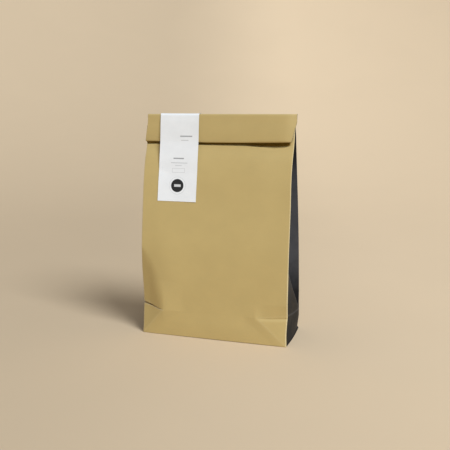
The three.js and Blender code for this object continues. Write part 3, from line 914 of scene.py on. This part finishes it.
class Nodes:
    """Adds nodes to a tree. An input that is given a socket is linked, any other is set."""

    def __init__(self, tree):
        self.tree = tree

    def add(self, kind, inputs=(), **settings):
        node = self.tree.nodes.new(kind)
        for name, value in settings.items():
            setattr(node, name, value)
        self.fill(node, inputs)
        return node

    def fill(self, node, inputs):
        """Plugs values into a node's inputs, by their names or numbers."""
        for key, value in dict(inputs).items():
            self.plug(node.inputs[key], value)

    def plug(self, socket, value):
        if isinstance(value, bpy.types.NodeSocket):
            self.tree.links.new(value, socket)
        else:
            socket.default_value = value

    def math(self, operation, *values):
        return self.add("ShaderNodeMath", enumerate(values), operation=operation).outputs[0]

    def vector(self, operation, *values):
        node = self.add("ShaderNodeVectorMath", enumerate(values), operation=operation)
        return node.outputs["Value" if operation in ("DISTANCE", "DOT_PRODUCT") else "Vector"]

    def scaled(self, vector, factor):
        return self.add(
            "ShaderNodeVectorMath", {0: vector, "Scale": factor}, operation="SCALE").outputs[0]

    def split(self, vector):
        return self.add("ShaderNodeSeparateXYZ", {0: vector}).outputs

    def joined(self, **parts):
        return self.add("ShaderNodeCombineXYZ", parts).outputs[0]

    def mix_colour(self, share, a, b):
        return self.add("ShaderNodeMix", {MIX_SHARE: share, MIX_A: a, MIX_B: b},
                        data_type="RGBA").outputs[MIX_RESULT]

    def ramp(self, value, low, high, out_low=0.0, out_high=1.0):
        """From out_low where the value is at low to out_high where it is at high."""
        return self.add("ShaderNodeMapRange", enumerate((value, low, high, out_low, out_high)),
                        interpolation_type="SMOOTHSTEP").outputs[0]

    def noise(self, place, scale, detail, roughness, stretch=(1, 1, 1)):
        """Noise from 0 to 1, around a half, with scale in turns per metre."""
        mapped = self.add(
            "ShaderNodeMapping", {"Vector": place, "Scale": [scale * s for s in stretch]})
        return self.add("ShaderNodeTexNoise", {
            "Vector": mapped.outputs[0], "Scale": 1.0, "Detail": detail,
            "Roughness": roughness}).outputs[0]

    def attribute(self, name, output):
        return self.add("ShaderNodeAttribute", attribute_name=name).outputs[output]

    def bump(self, height, distance, strength, **under):
        return self.add("ShaderNodeBump", {
            "Height": height, "Distance": distance, "Strength": strength, **under}).outputs[0]


def toned(colour, tone=1.0):
    """A colour made lighter or darker, for a node's socket."""
    return (*(min(value * tone, 1.0) for value in colour), 1.0)


# ------------------------------------------------------------------ finishes

# Noises are (turns per metre, detail, roughness) and ramps (from, to, gives, gives). Bumps
# are (distance, strength), and tones are shares of the paper's own colour.
MOST_NOISE = (0.3, 0.7)  # between which nearly all of a noise lies
LONG_FIBRES, LONG_STRETCH, LONG_SHARE = (2600, 2, 0.6), (1, 0.22, 1), 0.6
CROSS_FIBRES, CROSS_STRETCH, CROSS_SHARE = (1700, 3, 0.55), (0.5, 1, 1), 0.4
GOLD_FINISH = {
    "clouds": (26, 4, 0.55), "tones": (0.98, 1.02),
    "mottle": (210, 4, 0.6), "flecks": (0.58, 0.78, 0.0, 0.16), "fleck_tone": 0.82,
    "pale_fibres": (0.55, 0.8, 0.0, 0.14),
    "patches": (500, 3, 0.6), "patchy": (*MOST_NOISE, 0.45, 1.0),
    "roughness": (0.3, 0.75, 0.5, 0.62), "rubbed_roughness": 0.2,
    "specular": (0.0, 1.0, 0.4, 0.05),  # the less, the more shade is painted in the hollow
    "bump": (0.00004, 0.5), "soft_bump": (0.0006, 0.3),
}
BLACK_FINISH = {
    "clouds": (45, 4, 0.6), "cloud_share": (*MOST_NOISE, -0.15, 0.15), "tones": (0.36, 1.6),
    # painted sheen: the black is lighter in a band along the tube, coming in between the first
    # two distances and going between the last two
    "sheen_rises": (0.05, 0.13), "sheen_falls": (0.235, 0.28),  # metres along the tube
    "pale_fibres": (0.56, 0.8, 0.0, 0.12), "pale_tone": 3.2,
    "patches": (420, 3, 0.6), "patchy": (0.35, 0.7, 0.3, 1.0), "worn_tone": 4.5,
    "roughness": (0.3, 0.75, 0.44, 0.56), "specular": 0.04, "bump": (0.00004, 0.5),
}
LABEL_FINISH = {
    "clouds": (60, 3, 0.5), "tones": (0.975, 1.01), "ink_cover": (*MOST_NOISE, 1.0, 0.95),
    "roughness": (*MOST_NOISE, 0.42, 0.52),
    "specular": (0.0, 1.0, 0.4, 0.08),  # the less, the more ink there is
    "bump": (0.00002, 0.4),
}
FLOOR_FINISH = {
    # painted shade: from the darker tone on the left to the full colour on the right, over the
    # reach along lighter_towards
    "clouds": (3, 3, 0.5), "cloud_share": (*MOST_NOISE, -0.03, 0.03), "tones": (0.735, 1.0),
    "lighter_towards": (0.955, 0.297, 0), "reach": (-0.36, 0.44),
    "roughness": 0.85, "specular": 0.2,
}


def new_paper(name):
    """An empty material, its nodes and its Principled shader."""
    material = bpy.data.materials.new(name)
    material.use_nodes = True
    nodes = Nodes(material.node_tree)
    return material, nodes, material.node_tree.nodes["Principled BSDF"]


def fibres(nodes, place):
    """Fine fibres of the paper, mostly along the tube, from 0 to 1."""
    along = nodes.noise(place, *LONG_FIBRES, LONG_STRETCH)
    across = nodes.noise(place, *CROSS_FIBRES, CROSS_STRETCH)
    return nodes.math(
        "MULTIPLY_ADD", along, LONG_SHARE, nodes.math("MULTIPLY", across, CROSS_SHARE))


def between_tones(nodes, share, colour, finish):
    """A colour from one of its finish's two tones to the other."""
    low, high = finish["tones"]
    return nodes.mix_colour(share, toned(colour, low), toned(colour, high))


def rubbed_colour(nodes, finish, place, grain, colour, pale, worn):
    """A paper's colour with its pale fibres, worn in patches where its folds are rubbed. Also
    gives its wear, below 0 where shade is painted, and how much it is rubbed there."""
    colour = nodes.mix_colour(nodes.ramp(grain, *finish["pale_fibres"]), colour, pale)
    wear = nodes.attribute(WEAR_AND_SHADE, "Fac")
    patches = nodes.ramp(nodes.noise(place, *finish["patches"]), *finish["patchy"])
    rubbed = nodes.math("MULTIPLY", nodes.math("MAXIMUM", wear, 0.0), patches)
    return nodes.mix_colour(rubbed, colour, worn), wear, rubbed


def gold_paper(colours):
    """Satin gold-brown paper: cloudy, with fine fibres, paler where folds are rubbed, and with
    painted shade in the hollow under the flap."""
    finish = GOLD_FINISH
    material, nodes, shader = new_paper("gold paper")
    place = nodes.attribute(PAPER_PLACE, "Vector")
    clouds = nodes.noise(place, *finish["clouds"])
    mottle = nodes.noise(place, *finish["mottle"])
    grain = fibres(nodes, place)

    colour = between_tones(nodes, nodes.ramp(clouds, *MOST_NOISE), colours.gold, finish)
    flecks = nodes.ramp(mottle, *finish["flecks"])
    colour = nodes.mix_colour(flecks, colour, toned(colours.gold, finish["fleck_tone"]))
    worn = toned(colours.worn)
    colour, wear, rubbed = rubbed_colour(nodes, finish, place, grain, colour, worn, worn)
    # Painted shade: the paper in the hollow under the flap, where the wear is below 0, is made
    # darker and less shiny.
    painted_shade = nodes.math("MAXIMUM", nodes.math("MULTIPLY", wear, -1.0), 0.0)
    sheen = nodes.ramp(mottle, *finish["roughness"])
    nodes.fill(shader, {
        "Base Color": nodes.mix_colour(painted_shade, colour, toned(colours.painted_shade)),
        "Roughness": nodes.math("MULTIPLY_ADD", rubbed, finish["rubbed_roughness"], sheen),
        "Specular IOR Level": nodes.ramp(painted_shade, *finish["specular"]),
        "Normal": nodes.bump(
            clouds, *finish["soft_bump"], Normal=nodes.bump(grain, *finish["bump"]))})
    return material


def black_paper(colours):
    """Dark printed paper: faint grey fibres, paler at rubbed creases, and a painted sheen."""
    finish = BLACK_FINISH
    material, nodes, shader = new_paper("black paper")
    place = nodes.attribute(PAPER_PLACE, "Vector")
    clouds = nodes.noise(place, *finish["clouds"])
    grain = fibres(nodes, place)

    # Painted sheen: a band along the tube is made lighter.
    along = nodes.split(place)["Y"]
    painted_sheen = nodes.math(
        "SUBTRACT", nodes.ramp(along, *finish["sheen_rises"]),
        nodes.ramp(along, *finish["sheen_falls"]))
    share = nodes.math("ADD", nodes.ramp(clouds, *finish["cloud_share"]), painted_sheen)
    pale, worn = (toned(colours.black, finish[tone]) for tone in ("pale_tone", "worn_tone"))
    colour = between_tones(nodes, share, colours.black, finish)
    colour, *_ = rubbed_colour(nodes, finish, place, grain, colour, pale, worn)
    nodes.fill(shader, {
        "Base Color": colour, "Roughness": nodes.ramp(clouds, *finish["roughness"]),
        "Specular IOR Level": finish["specular"],
        "Normal": nodes.bump(grain, *finish["bump"])})
    return material


# Marks on the label, in millimetres: (across from its middle, along from its foot, half
# width, half height, ink). They are plain bars; a frame and a disc with a ring follow.
LABEL_BARS = [
    (10.5, 93.6, 9.2, 0.9, 0.55), (8.4, 87.8, 5.6, 0.5, 0.35),
    (0.4, 61.8, 8.0, 0.9, 0.6), (1.4, 55.4, 12.6, 0.45, 0.38), (0.4, 51.6, 5.0, 0.45, 0.3),
]
LABEL_FRAME, FRAME_LINE = (0.6, 44.6, 9.4, 2.9, 0.35), 0.45  # and the width of its line
DISC_ALONG, DISC_RADIUS, DISC_INK = 22.8, 9.5, 1.0
RING_RADIUS, RING_LINE, RING_INK = 12.4, 0.35, 0.3
DISC_BAR = (0.2, 22.8, 5.0, 1.8, 0.72)  # left pale: the ink that it takes off the disc
EDGE_SOFTNESS = 0.12  # of printed edges


def printed_marks(nodes, place):
    """How much ink there is, from 0 to 1, at a place on the label in metres."""
    in_mm = nodes.scaled(place, 1 / MM)
    across, along, _ = nodes.split(in_mm)

    def off(value, centre, half):
        """Distance out of a stretch along one way, and negative inside it."""
        return nodes.math(
            "SUBTRACT", nodes.math("ABSOLUTE", nodes.math("SUBTRACT", value, centre)), half)

    def outside_box(centre_across, centre_along, half_across, half_along):
        return nodes.math(
            "MAXIMUM", off(across, centre_across, half_across),
            off(along, centre_along, half_along))

    def inked(distance, ink):
        return nodes.ramp(distance, -EDGE_SOFTNESS, EDGE_SOFTNESS, ink, 0.0)

    *frame_box, frame_ink = LABEL_FRAME
    *pale_box, pale_ink = DISC_BAR
    centre = nodes.vector("DISTANCE", in_mm, (0, DISC_ALONG, 0))
    disc = inked(nodes.math("SUBTRACT", centre, DISC_RADIUS), DISC_INK)
    total = nodes.math("SUBTRACT", disc, inked(outside_box(*pale_box), pale_ink))
    for mark in (
            *(inked(outside_box(*box), ink) for *box, ink in LABEL_BARS),
            inked(off(outside_box(*frame_box), 0.0, FRAME_LINE / 2), frame_ink),
            inked(off(centre, RING_RADIUS, RING_LINE / 2), RING_INK)):
        total = nodes.math("MAXIMUM", total, mark)
    return total


def label_paper(colours):
    """Smooth white paper with a faint tooth, printed with bars, a frame and a disc."""
    finish = LABEL_FINISH
    material, nodes, shader = new_paper("label paper")
    place = nodes.attribute(PAPER_PLACE, "Vector")
    clouds = nodes.noise(place, *finish["clouds"])
    grain = fibres(nodes, place)
    colour = between_tones(nodes, nodes.ramp(clouds, *MOST_NOISE), colours.label, finish)
    ink = nodes.math(
        "MULTIPLY", printed_marks(nodes, place), nodes.ramp(grain, *finish["ink_cover"]))
    nodes.fill(shader, {
        "Base Color": nodes.mix_colour(ink, colour, toned(colours.ink)),
        "Roughness": nodes.ramp(grain, *finish["roughness"]),
        "Specular IOR Level": nodes.ramp(ink, *finish["specular"]),
        "Normal": nodes.bump(grain, *finish["bump"])})
    return material


def studio_floor(colours):
    """Matt backdrop paper with painted shade: a little darker to the left of the bag than right.
    """
    finish = FLOOR_FINISH
    material, nodes, shader = new_paper("studio floor")
    place = nodes.add("ShaderNodeTexCoord").outputs["Object"]
    clouds = nodes.noise(place, *finish["clouds"])
    # Painted shade: the floor is darker to the left of the bag and lighter to the right.
    side = nodes.vector("DOT_PRODUCT", place, finish["lighter_towards"])
    share = nodes.math(
        "ADD", nodes.ramp(side, *finish["reach"]), nodes.ramp(clouds, *finish["cloud_share"]))
    nodes.fill(shader, {
        "Base Color": between_tones(nodes, share, colours.floor, finish),
        "Roughness": finish["roughness"], "Specular IOR Level": finish["specular"]})
    return material


# ------------------------------------------------------------------ the label's nodes

LABEL_CLEARANCE = 0.12  # from the bag's paper where the label is stuck
RAY_START = 60  # distance from the bag from which the label is laid against it
RAY_LENGTH = 180
LABEL_ACROSS, LABEL_ALONG = 40, 150  # points each way
LABEL_CURL_POWER = 3.0  # how near the edges the curl stays
MERGE_DISTANCE = 1e-6  # metres


def label_tree():
    """Geometry Nodes that lay a strip along a path, in front of and behind the bag.

    The strip's points follow the path. Over the path's first and last parts they are also
    kept clear of the bag, found along Y. The strip then gets its curl and its thickness."""
    tree = bpy.data.node_groups.new("Label strip", "GeometryNodeTree")
    nodes = Nodes(tree)
    sockets = {
        "Path": "NodeSocketGeometry", "Width": "NodeSocketFloat",
        "Thickness": "NodeSocketFloat", "Curl": "NodeSocketFloat",
        "Clearance": "NodeSocketFloat", "Front Part": "NodeSocketFloat",
        "Back Part": "NodeSocketFloat", "Bag": "NodeSocketObject",
        "Finish": "NodeSocketMaterial"}
    for name, kind in sockets.items():
        tree.interface.new_socket(name, in_out="INPUT", socket_type=kind)
    tree.interface.new_socket("Strip", in_out="OUTPUT", socket_type="NodeSocketGeometry")
    given = nodes.add("NodeGroupInput").outputs

    grid = nodes.add("GeometryNodeMeshGrid", {
        "Size X": 1.0, "Size Y": 1.0, "Vertices X": LABEL_ACROSS, "Vertices Y": LABEL_ALONG})
    place = nodes.add("GeometryNodeInputPosition").outputs[0]
    kept = nodes.add("GeometryNodeCaptureAttribute", {0: grid.outputs[0]})
    kept.capture_items.new("VECTOR", "Place")
    tree.links.new(place, kept.inputs[1])
    across, along, _ = nodes.split(kept.outputs[1])
    share = nodes.math("ADD", along, 0.5)

    path = nodes.add("GeometryNodeMeshToCurve", {0: given["Path"]}).outputs[0]
    sample = nodes.add("GeometryNodeSampleCurve", {
        "Curves": path, "Factor": share}, mode="FACTOR", use_all_curves=True)
    length = nodes.add("GeometryNodeCurveLength", {0: path}).outputs[0]
    off_middle = nodes.math("MULTIPLY", across, given["Width"])
    on_path = nodes.vector("ADD", sample.outputs["Position"], nodes.joined(X=off_middle))
    x, y, z = nodes.split(on_path)

    bag = nodes.add("GeometryNodeObjectInfo", {"Object": given["Bag"]}).outputs["Geometry"]

    def either(test, where_true, otherwise):
        return nodes.add("GeometryNodeSwitch", {
            "Switch": test, "True": where_true, "False": otherwise},
            input_type="FLOAT").outputs[0]

    def kept_clear(sign, keep):
        """The point's y, kept clear of the bag; sign is -1 in front of it and 1 behind."""
        start = nodes.vector("ADD", on_path, (0, sign * RAY_START * MM, 0))
        ray = nodes.add("GeometryNodeRaycast", {
            "Target Geometry": bag, "Source Position": start,
            "Ray Direction": (0, -sign, 0), "Ray Length": RAY_LENGTH * MM})
        hit_y = nodes.split(ray.outputs["Hit Position"])["Y"]
        room = nodes.math("MULTIPLY", given["Clearance"], sign)
        clear = nodes.math(keep, y, nodes.math("ADD", hit_y, room))
        return either(ray.outputs["Is Hit"], clear, y)

    in_front = nodes.math("LESS_THAN", share, given["Front Part"])
    behind = nodes.math("GREATER_THAN", share, given["Back Part"])
    laid_y = either(in_front, kept_clear(-1, "MINIMUM"), y)
    laid_y = either(behind, kept_clear(1, "MAXIMUM"), laid_y)
    laid = nodes.joined(X=x, Y=laid_y, Z=z)

    outwards = nodes.vector("CROSS_PRODUCT", (1, 0, 0), sample.outputs["Tangent"])
    to_edge = nodes.math("ABSOLUTE", nodes.math("MULTIPLY", across, 2.0))
    bent = nodes.math("POWER", to_edge, LABEL_CURL_POWER)
    curl = nodes.scaled(outwards, nodes.math("MULTIPLY", bent, given["Curl"]))
    strip = nodes.add("GeometryNodeSetPosition", {
        "Geometry": kept.outputs[0], "Position": nodes.vector("ADD", laid, curl)})

    on_paper = nodes.joined(X=off_middle, Y=nodes.math("MULTIPLY", share, length))
    strip = nodes.add("GeometryNodeStoreNamedAttribute", {
        "Geometry": strip.outputs[0], "Name": PAPER_PLACE, "Value": on_paper},
        data_type="FLOAT_VECTOR", domain="POINT")
    outer = nodes.add("GeometryNodeExtrudeMesh", {
        "Mesh": strip.outputs[0], "Offset Scale": given["Thickness"], "Individual": False},
        mode="FACES")
    inner = nodes.add("GeometryNodeFlipFaces", {0: strip.outputs[0]})
    both = nodes.add("GeometryNodeJoinGeometry", {0: outer.outputs[0]})
    tree.links.new(inner.outputs[0], both.inputs[0])
    closed = nodes.add(
        "GeometryNodeMergeByDistance", {0: both.outputs[0], "Distance": MERGE_DISTANCE})
    real = nodes.add("GeometryNodeRealizeInstances", {0: closed.outputs[0]})
    finished = nodes.add("GeometryNodeSetMaterial", {
        "Geometry": real.outputs[0], "Material": given["Finish"]})
    nodes.add("NodeGroupOutput", {0: finished.outputs[0]})
    return tree


def set_inputs(modifier, tree, values):
    """Sets a modifier's inputs by the identifiers of the tree's sockets."""
    for item in tree.interface.items_tree:
        if item.in_out == "INPUT" and item.name in values:
            modifier[item.identifier] = values[item.name]


# ------------------------------------------------------------------ operators

class BAKERYBAG_OT_gold_paper(bpy.types.Operator):
    """Makes the gold sheet: front, back, base, top fold and flap"""

    bl_idname = "bakery_bag.gold_paper"
    bl_label = "Gold Paper"

    def execute(self, context):
        settings = context.scene.bakery_bag
        tube = PaperTube(settings.sizes)
        sheets = Sheets()
        stations = np.arange(len(tube.along))
        turn = len(LEVELS) + len(ROLL_SHARES) + len(FLAP_SHARES)
        edge_at = tube.along[turn + len(TURN_ANGLES) // 2]
        top_at = tube.along[len(LEVELS) + len(ROLL_SHARES) // 2]
        along = tube.along[:, None]
        over_top = TOP_WEAR * near(along - top_at, TOP_WEAR_REACH) + EDGE_WEAR * near(
            along - edge_at, EDGE_WEAR_REACH)
        outer, inner, places = tube.sheet("front", stations)
        sheets.add(outer, inner, places, self.front_wear_and_shade(stations, outer, places))
        sheets.add(*tube.sheet("back", stations), over_top)
        paper = tube.paper
        sheets.add_flat(base_flap(FLAP_REACH_BACK, 1), 0, paper)
        sheets.add_flat(base_flap(FLAP_REACH_FRONT, -1), BASE_LAYER, BASE_LAYER + paper)
        piece = sheets.make("gold_sheet", gold_paper(settings.colours))
        dress(piece, "bag_body")
        return {"FINISHED"}

    @staticmethod
    def front_wear_and_shade(stations, outer, places):
        """Wear of the front at its side folds and its creases; painted shade, -1, in the hollow.
        """
        wear = fold_wear(places)
        body = (stations < len(LEVELS))[:, None]
        for start, end, worn in FRONT_CREASES:
            wear = np.maximum(wear, worn * body * line_wear(outer, start, end))
        return lerp(wear, -1, body * painted_hollow_shade(outer[..., 0], outer[..., 2]))


class BAKERYBAG_OT_gussets(bpy.types.Operator):
    """Makes the two black gussets, tucked in at the sides"""

    bl_idname = "bakery_bag.gussets"
    bl_label = "Gussets"

    def execute(self, context):
        settings = context.scene.bakery_bag
        tube = PaperTube(settings.sizes)
        stations = np.arange(len(tube.along))
        crease_rows = np.arange(*np.searchsorted(LEVELS, FOOT_CREASE_ZONE), FOOT_CREASE_STEP)
        rows = np.union1d(stations, crease_rows)
        opening = np.interp(rows, stations, tube.opening)
        finish = black_paper(settings.colours)
        low = 2 * BASE_LAYER
        for part, side in (("right", RIGHT_SIDE), ("left", LEFT_SIDE)):
            sheets = Sheets()
            outer, inner, places = (
                at_rows(grid, rows) for grid in tube.sheet(part, stations))
            sheets.add(outer, inner, places, self.wear(opening, outer, places, side))
            sheets.add_flat(base_triangle(side["sign"]), low, low + tube.paper)
            piece = sheets.make(f"gusset_sheet_{part}", finish)
            dress(piece, f"gusset_{part}")
        return {"FINISHED"}

    @staticmethod
    def wear(opening, outer, places, side):
        """Wear of a gusset at its tuck, its slanting crease, its foot's crease and the
        fold to the back."""
        if side["sign"] < 0:
            outer, places = outer[:, ::-1], places[:, ::-1]
        along = np.abs(places[..., 0] - places[:, :1, 0])
        z = outer[..., 2]
        opened = smoothstep(opening, *OPENED)[:, None]

        def at_column(column):
            return near(along - along[:, column][:, None], CREASE_WEAR_REACH)

        share = np.clip(along / along[:, -1:], 0, 1)
        foot = lerp(*side["band"], share) + FOOT_CREASE_DIP * np.sin(np.pi * share)
        wear = np.maximum.reduce([
            GUSSET_WEAR["tuck"] * at_column(FLAT_STEPS + WALL_STEPS) * opened,
            GUSSET_WEAR["slant"] * at_column(FLAT_STEPS) * opened * (z < side["slant"][0]),
            GUSSET_WEAR["foot"] * near(z - foot, CREASE_WEAR_REACH) * (z < GUSSET_TOP / 2),
            GUSSET_WEAR["back"] * at_column(-1 - ARC_STEPS // 2)])
        return wear if side["sign"] > 0 else wear[:, ::-1]


class BAKERYBAG_OT_label(bpy.types.Operator):
    """Makes the label over the top fold"""

    bl_idname = "bakery_bag.label"
    bl_label = "Label"

    def execute(self, context):
        settings = context.scene.bakery_bag
        bag = bpy.data.objects.get("gold_sheet")
        if bag is None:
            raise RuntimeError("the label needs the gold paper: make that first")
        path, front_part, back_part = self.path(PaperTube(settings.sizes))
        mesh = bpy.data.meshes.new("label path")
        edges = [(i, i + 1) for i in range(len(path) - 1)]
        mesh.from_pydata((path * MM).tolist(), edges, [])
        strip = bpy.data.objects.new("label path", mesh)
        context.scene.collection.objects.link(strip)

        tree = label_tree()
        modifier = strip.modifiers.new("Label strip", "NODES")
        modifier.node_group = tree
        set_inputs(modifier, tree, {
            "Width": (LABEL_HIGH[0] - LABEL_LOW[0]) * MM,
            "Thickness": settings.sizes.label_thickness, "Curl": settings.sizes.label_curl,
            "Clearance": LABEL_CLEARANCE * MM, "Front Part": front_part,
            "Back Part": back_part, "Bag": bag, "Finish": label_paper(settings.colours)})
        evaluated = strip.evaluated_get(context.evaluated_depsgraph_get())
        made = bpy.data.meshes.new_from_object(evaluated)
        if not made.polygons:
            raise RuntimeError("the label's nodes made no faces")
        bpy.data.objects.remove(strip)
        piece = put_in_scene("label_strip", made)
        dress(piece, "label")
        return {"FINISHED"}

    @staticmethod
    def path(tube):
        """The label's line at its middle, from its foot to its back end, and the shares of
        its length at which it leaves the front and reaches the back."""
        middle_x = (LABEL_LOW[0] + LABEL_HIGH[0]) / 2
        column = np.abs(COLUMNS - middle_x).argmin()
        line = tube.back[:, column, 1:]
        roll = slice(len(LEVELS) - 1, len(LEVELS) + len(ROLL_SHARES))

        front_z = np.linspace(LABEL_FOOT_Z, LABEL_PATH[-1][0], LABEL_FRONT_POINTS)
        stuck_y = np.interp(front_z, tube.front[:len(LEVELS), column, 2],
                            tube.front[:len(LEVELS), column, 1]) - LABEL_CLEARANCE
        front_y = lerp(stuck_y, label_path_y(front_z), smoothstep(front_z, *LABEL_MEETS))
        along = unit(np.gradient(line, axis=0))
        outwards = np.stack([along[:, 1], -along[:, 0]], -1)
        rise = np.linspace(*LABEL_RISE[::-1], roll.stop - roll.start)[:, None]
        over = (line[roll] + rise * outwards[roll])[::-1][1:]
        back_z = np.linspace(over[-1, 1], LABEL_BACK_Z, LABEL_BACK_POINTS)[1:]
        back_y = np.interp(back_z, line[:len(LEVELS), 1], line[:len(LEVELS), 0])
        settle = smoothstep(back_z, over[-1, 1], over[-1, 1] - LABEL_SETTLE)
        back_y += lerp(LABEL_RISE[1], LABEL_CLEARANCE, settle)

        yz = np.concatenate([
            np.column_stack([front_y, front_z]), over, np.column_stack([back_y, back_z])])
        run = run_along(yz)
        run /= run[-1]
        leaves = len(front_y) - 1
        reaches = leaves + len(over)
        height = (yz[:, 1] - LABEL_FOOT_Z) / (HEIGHT - LABEL_FOOT_Z)
        points = np.column_stack([middle_x + lerp(*LABEL_SHIFT, height), yz])
        return points, run[leaves], run[reaches]


# The camera, from the photograph's perspective: where it is, and how far it is turned.
CAMERA_AT = (0.2884, -0.9094, 0.3373)
CAMERA_TURN, CAMERA_DOWN = -17.27, 10.46  # degrees
KEY_FROM = (0.559, -0.343, 0.755)  # direction of the key light, from the bag
LIGHT_COLOUR = (0.93, 1.0, 1.08)
FILL_AT, FILL_SIZE = (0.9, -2.0, 1.45), 1.2  # a square light, turned to the bag

# The backdrop: a level round floor of rings, which curves up all round like a bowl. Metres.
FLOOR_RINGS, FLOOR_RADIUS, CURVE_RADIUS, RIM_ANGLE = (0.3, 0.7), 1.0, 3.0, np.radians(75)
BACKDROP_SIDES, CURVE_STEPS = 96, 24


class BAKERYBAG_OT_stage(bpy.types.Operator):
    """Makes the floor and its backdrop, the lights and the camera"""

    bl_idname = "bakery_bag.stage"
    bl_label = "Stage"

    def execute(self, context):
        settings = context.scene.bakery_bag
        self.backdrop(settings.colours)
        self.lights(context.scene, settings.stage)
        self.camera(context.scene, settings.stage)
        return {"FINISHED"}

    def backdrop(self, colours):
        sweep = np.linspace(0, RIM_ANGLE, CURVE_STEPS + 1)
        profile = [*((radius, 0) for radius in FLOOR_RINGS), *zip(
            FLOOR_RADIUS + CURVE_RADIUS * np.sin(sweep), CURVE_RADIUS * (1 - np.cos(sweep)))]
        angle = np.linspace(0, 2 * np.pi, BACKDROP_SIDES, endpoint=False)
        points = [(r * np.cos(a), r * np.sin(a), z) for r, z in profile for a in angle]
        faces = [list(range(BACKDROP_SIDES))]
        for ring in range(len(profile) - 1):
            for i in range(BACKDROP_SIDES):
                j = (i + 1) % BACKDROP_SIDES
                low, high = ring * BACKDROP_SIDES, (ring + 1) * BACKDROP_SIDES
                faces.append([low + i, high + i, high + j, low + j])
        mesh = bpy.data.meshes.new("backdrop")
        mesh.from_pydata(points, [], faces)
        mesh.materials.append(studio_floor(colours))
        put_in_scene("backdrop", mesh)

    def lights(self, scene, stage):
        middle = Vector((0, 0, HEIGHT * MM / 2))
        lamp = self.lamp(scene, "key light", "SUN", stage.key_power, Vector(KEY_FROM), middle)
        lamp.angle = stage.key_angle
        lamp.color = LIGHT_COLOUR
        lamp = self.lamp(scene, "fill light", "AREA", stage.fill_power, Vector(FILL_AT), middle)
        lamp.size = FILL_SIZE
        lamp.color = LIGHT_COLOUR

        world = bpy.data.worlds.new("studio air")
        world.use_nodes = True
        background = world.node_tree.nodes["Background"]
        background.inputs["Color"].default_value = (*LIGHT_COLOUR, 1.0)
        background.inputs["Strength"].default_value = stage.sky_strength
        scene.world = world
        scene.view_settings.view_transform = "Standard"

    @staticmethod
    def lamp(scene, name, kind, energy, place, aim):
        lamp = bpy.data.lights.new(name, kind)
        lamp.energy = energy
        light = bpy.data.objects.new(name, lamp)
        light.location = place
        light.rotation_euler = (place - aim).to_track_quat("Z", "Y").to_euler()
        scene.collection.objects.link(light)
        return lamp

    def camera(self, scene, stage):
        turn, down = np.radians([CAMERA_TURN, CAMERA_DOWN])
        looks = Vector((
            np.sin(turn) * np.cos(down), np.cos(turn) * np.cos(down), -np.sin(down)))
        lens = bpy.data.cameras.new("camera")
        lens.lens = stage.lens
        camera = bpy.data.objects.new("camera", lens)
        scene.collection.objects.link(camera)
        camera.location = CAMERA_AT
        camera.rotation_euler = looks.to_track_quat("-Z", "Y").to_euler()
        scene.camera = camera


OPERATORS = (
    BAKERYBAG_OT_gold_paper, BAKERYBAG_OT_gussets, BAKERYBAG_OT_label, BAKERYBAG_OT_stage)


class BAKERYBAG_PT_panel(bpy.types.Panel):
    """Settings and steps of the paper bakery bag"""

    bl_idname = "BAKERYBAG_PT_panel"
    bl_label = "Bakery Bag"
    bl_space_type = "VIEW_3D"
    bl_region_type = "UI"
    bl_category = "Bakery Bag"

    def draw(self, context):
        settings = context.scene.bakery_bag
        for group in (settings.sizes, settings.colours, settings.stage):
            column = self.layout.column()
            for name in group.bl_rna.properties.keys():
                if name not in ("rna_type", "name"):
                    column.prop(group, name)
        for operator in OPERATORS:
            self.layout.operator(operator.bl_idname)


CLASSES = (
    BagSizes, BagColours, StageSettings, BagSettings, *OPERATORS, BAKERYBAG_PT_panel)


def register():
    for cls in CLASSES:
        bpy.utils.register_class(cls)
    bpy.types.Scene.bakery_bag = PointerProperty(type=BagSettings)


def unregister():
    del bpy.types.Scene.bakery_bag
    for cls in reversed(CLASSES):
        bpy.utils.unregister_class(cls)


def main():
    register()
    bpy.ops.bakery_bag.gold_paper()
    bpy.ops.bakery_bag.gussets()
    bpy.ops.bakery_bag.label()
    bpy.ops.bakery_bag.stage()


if __name__ == "__main__":
    main()
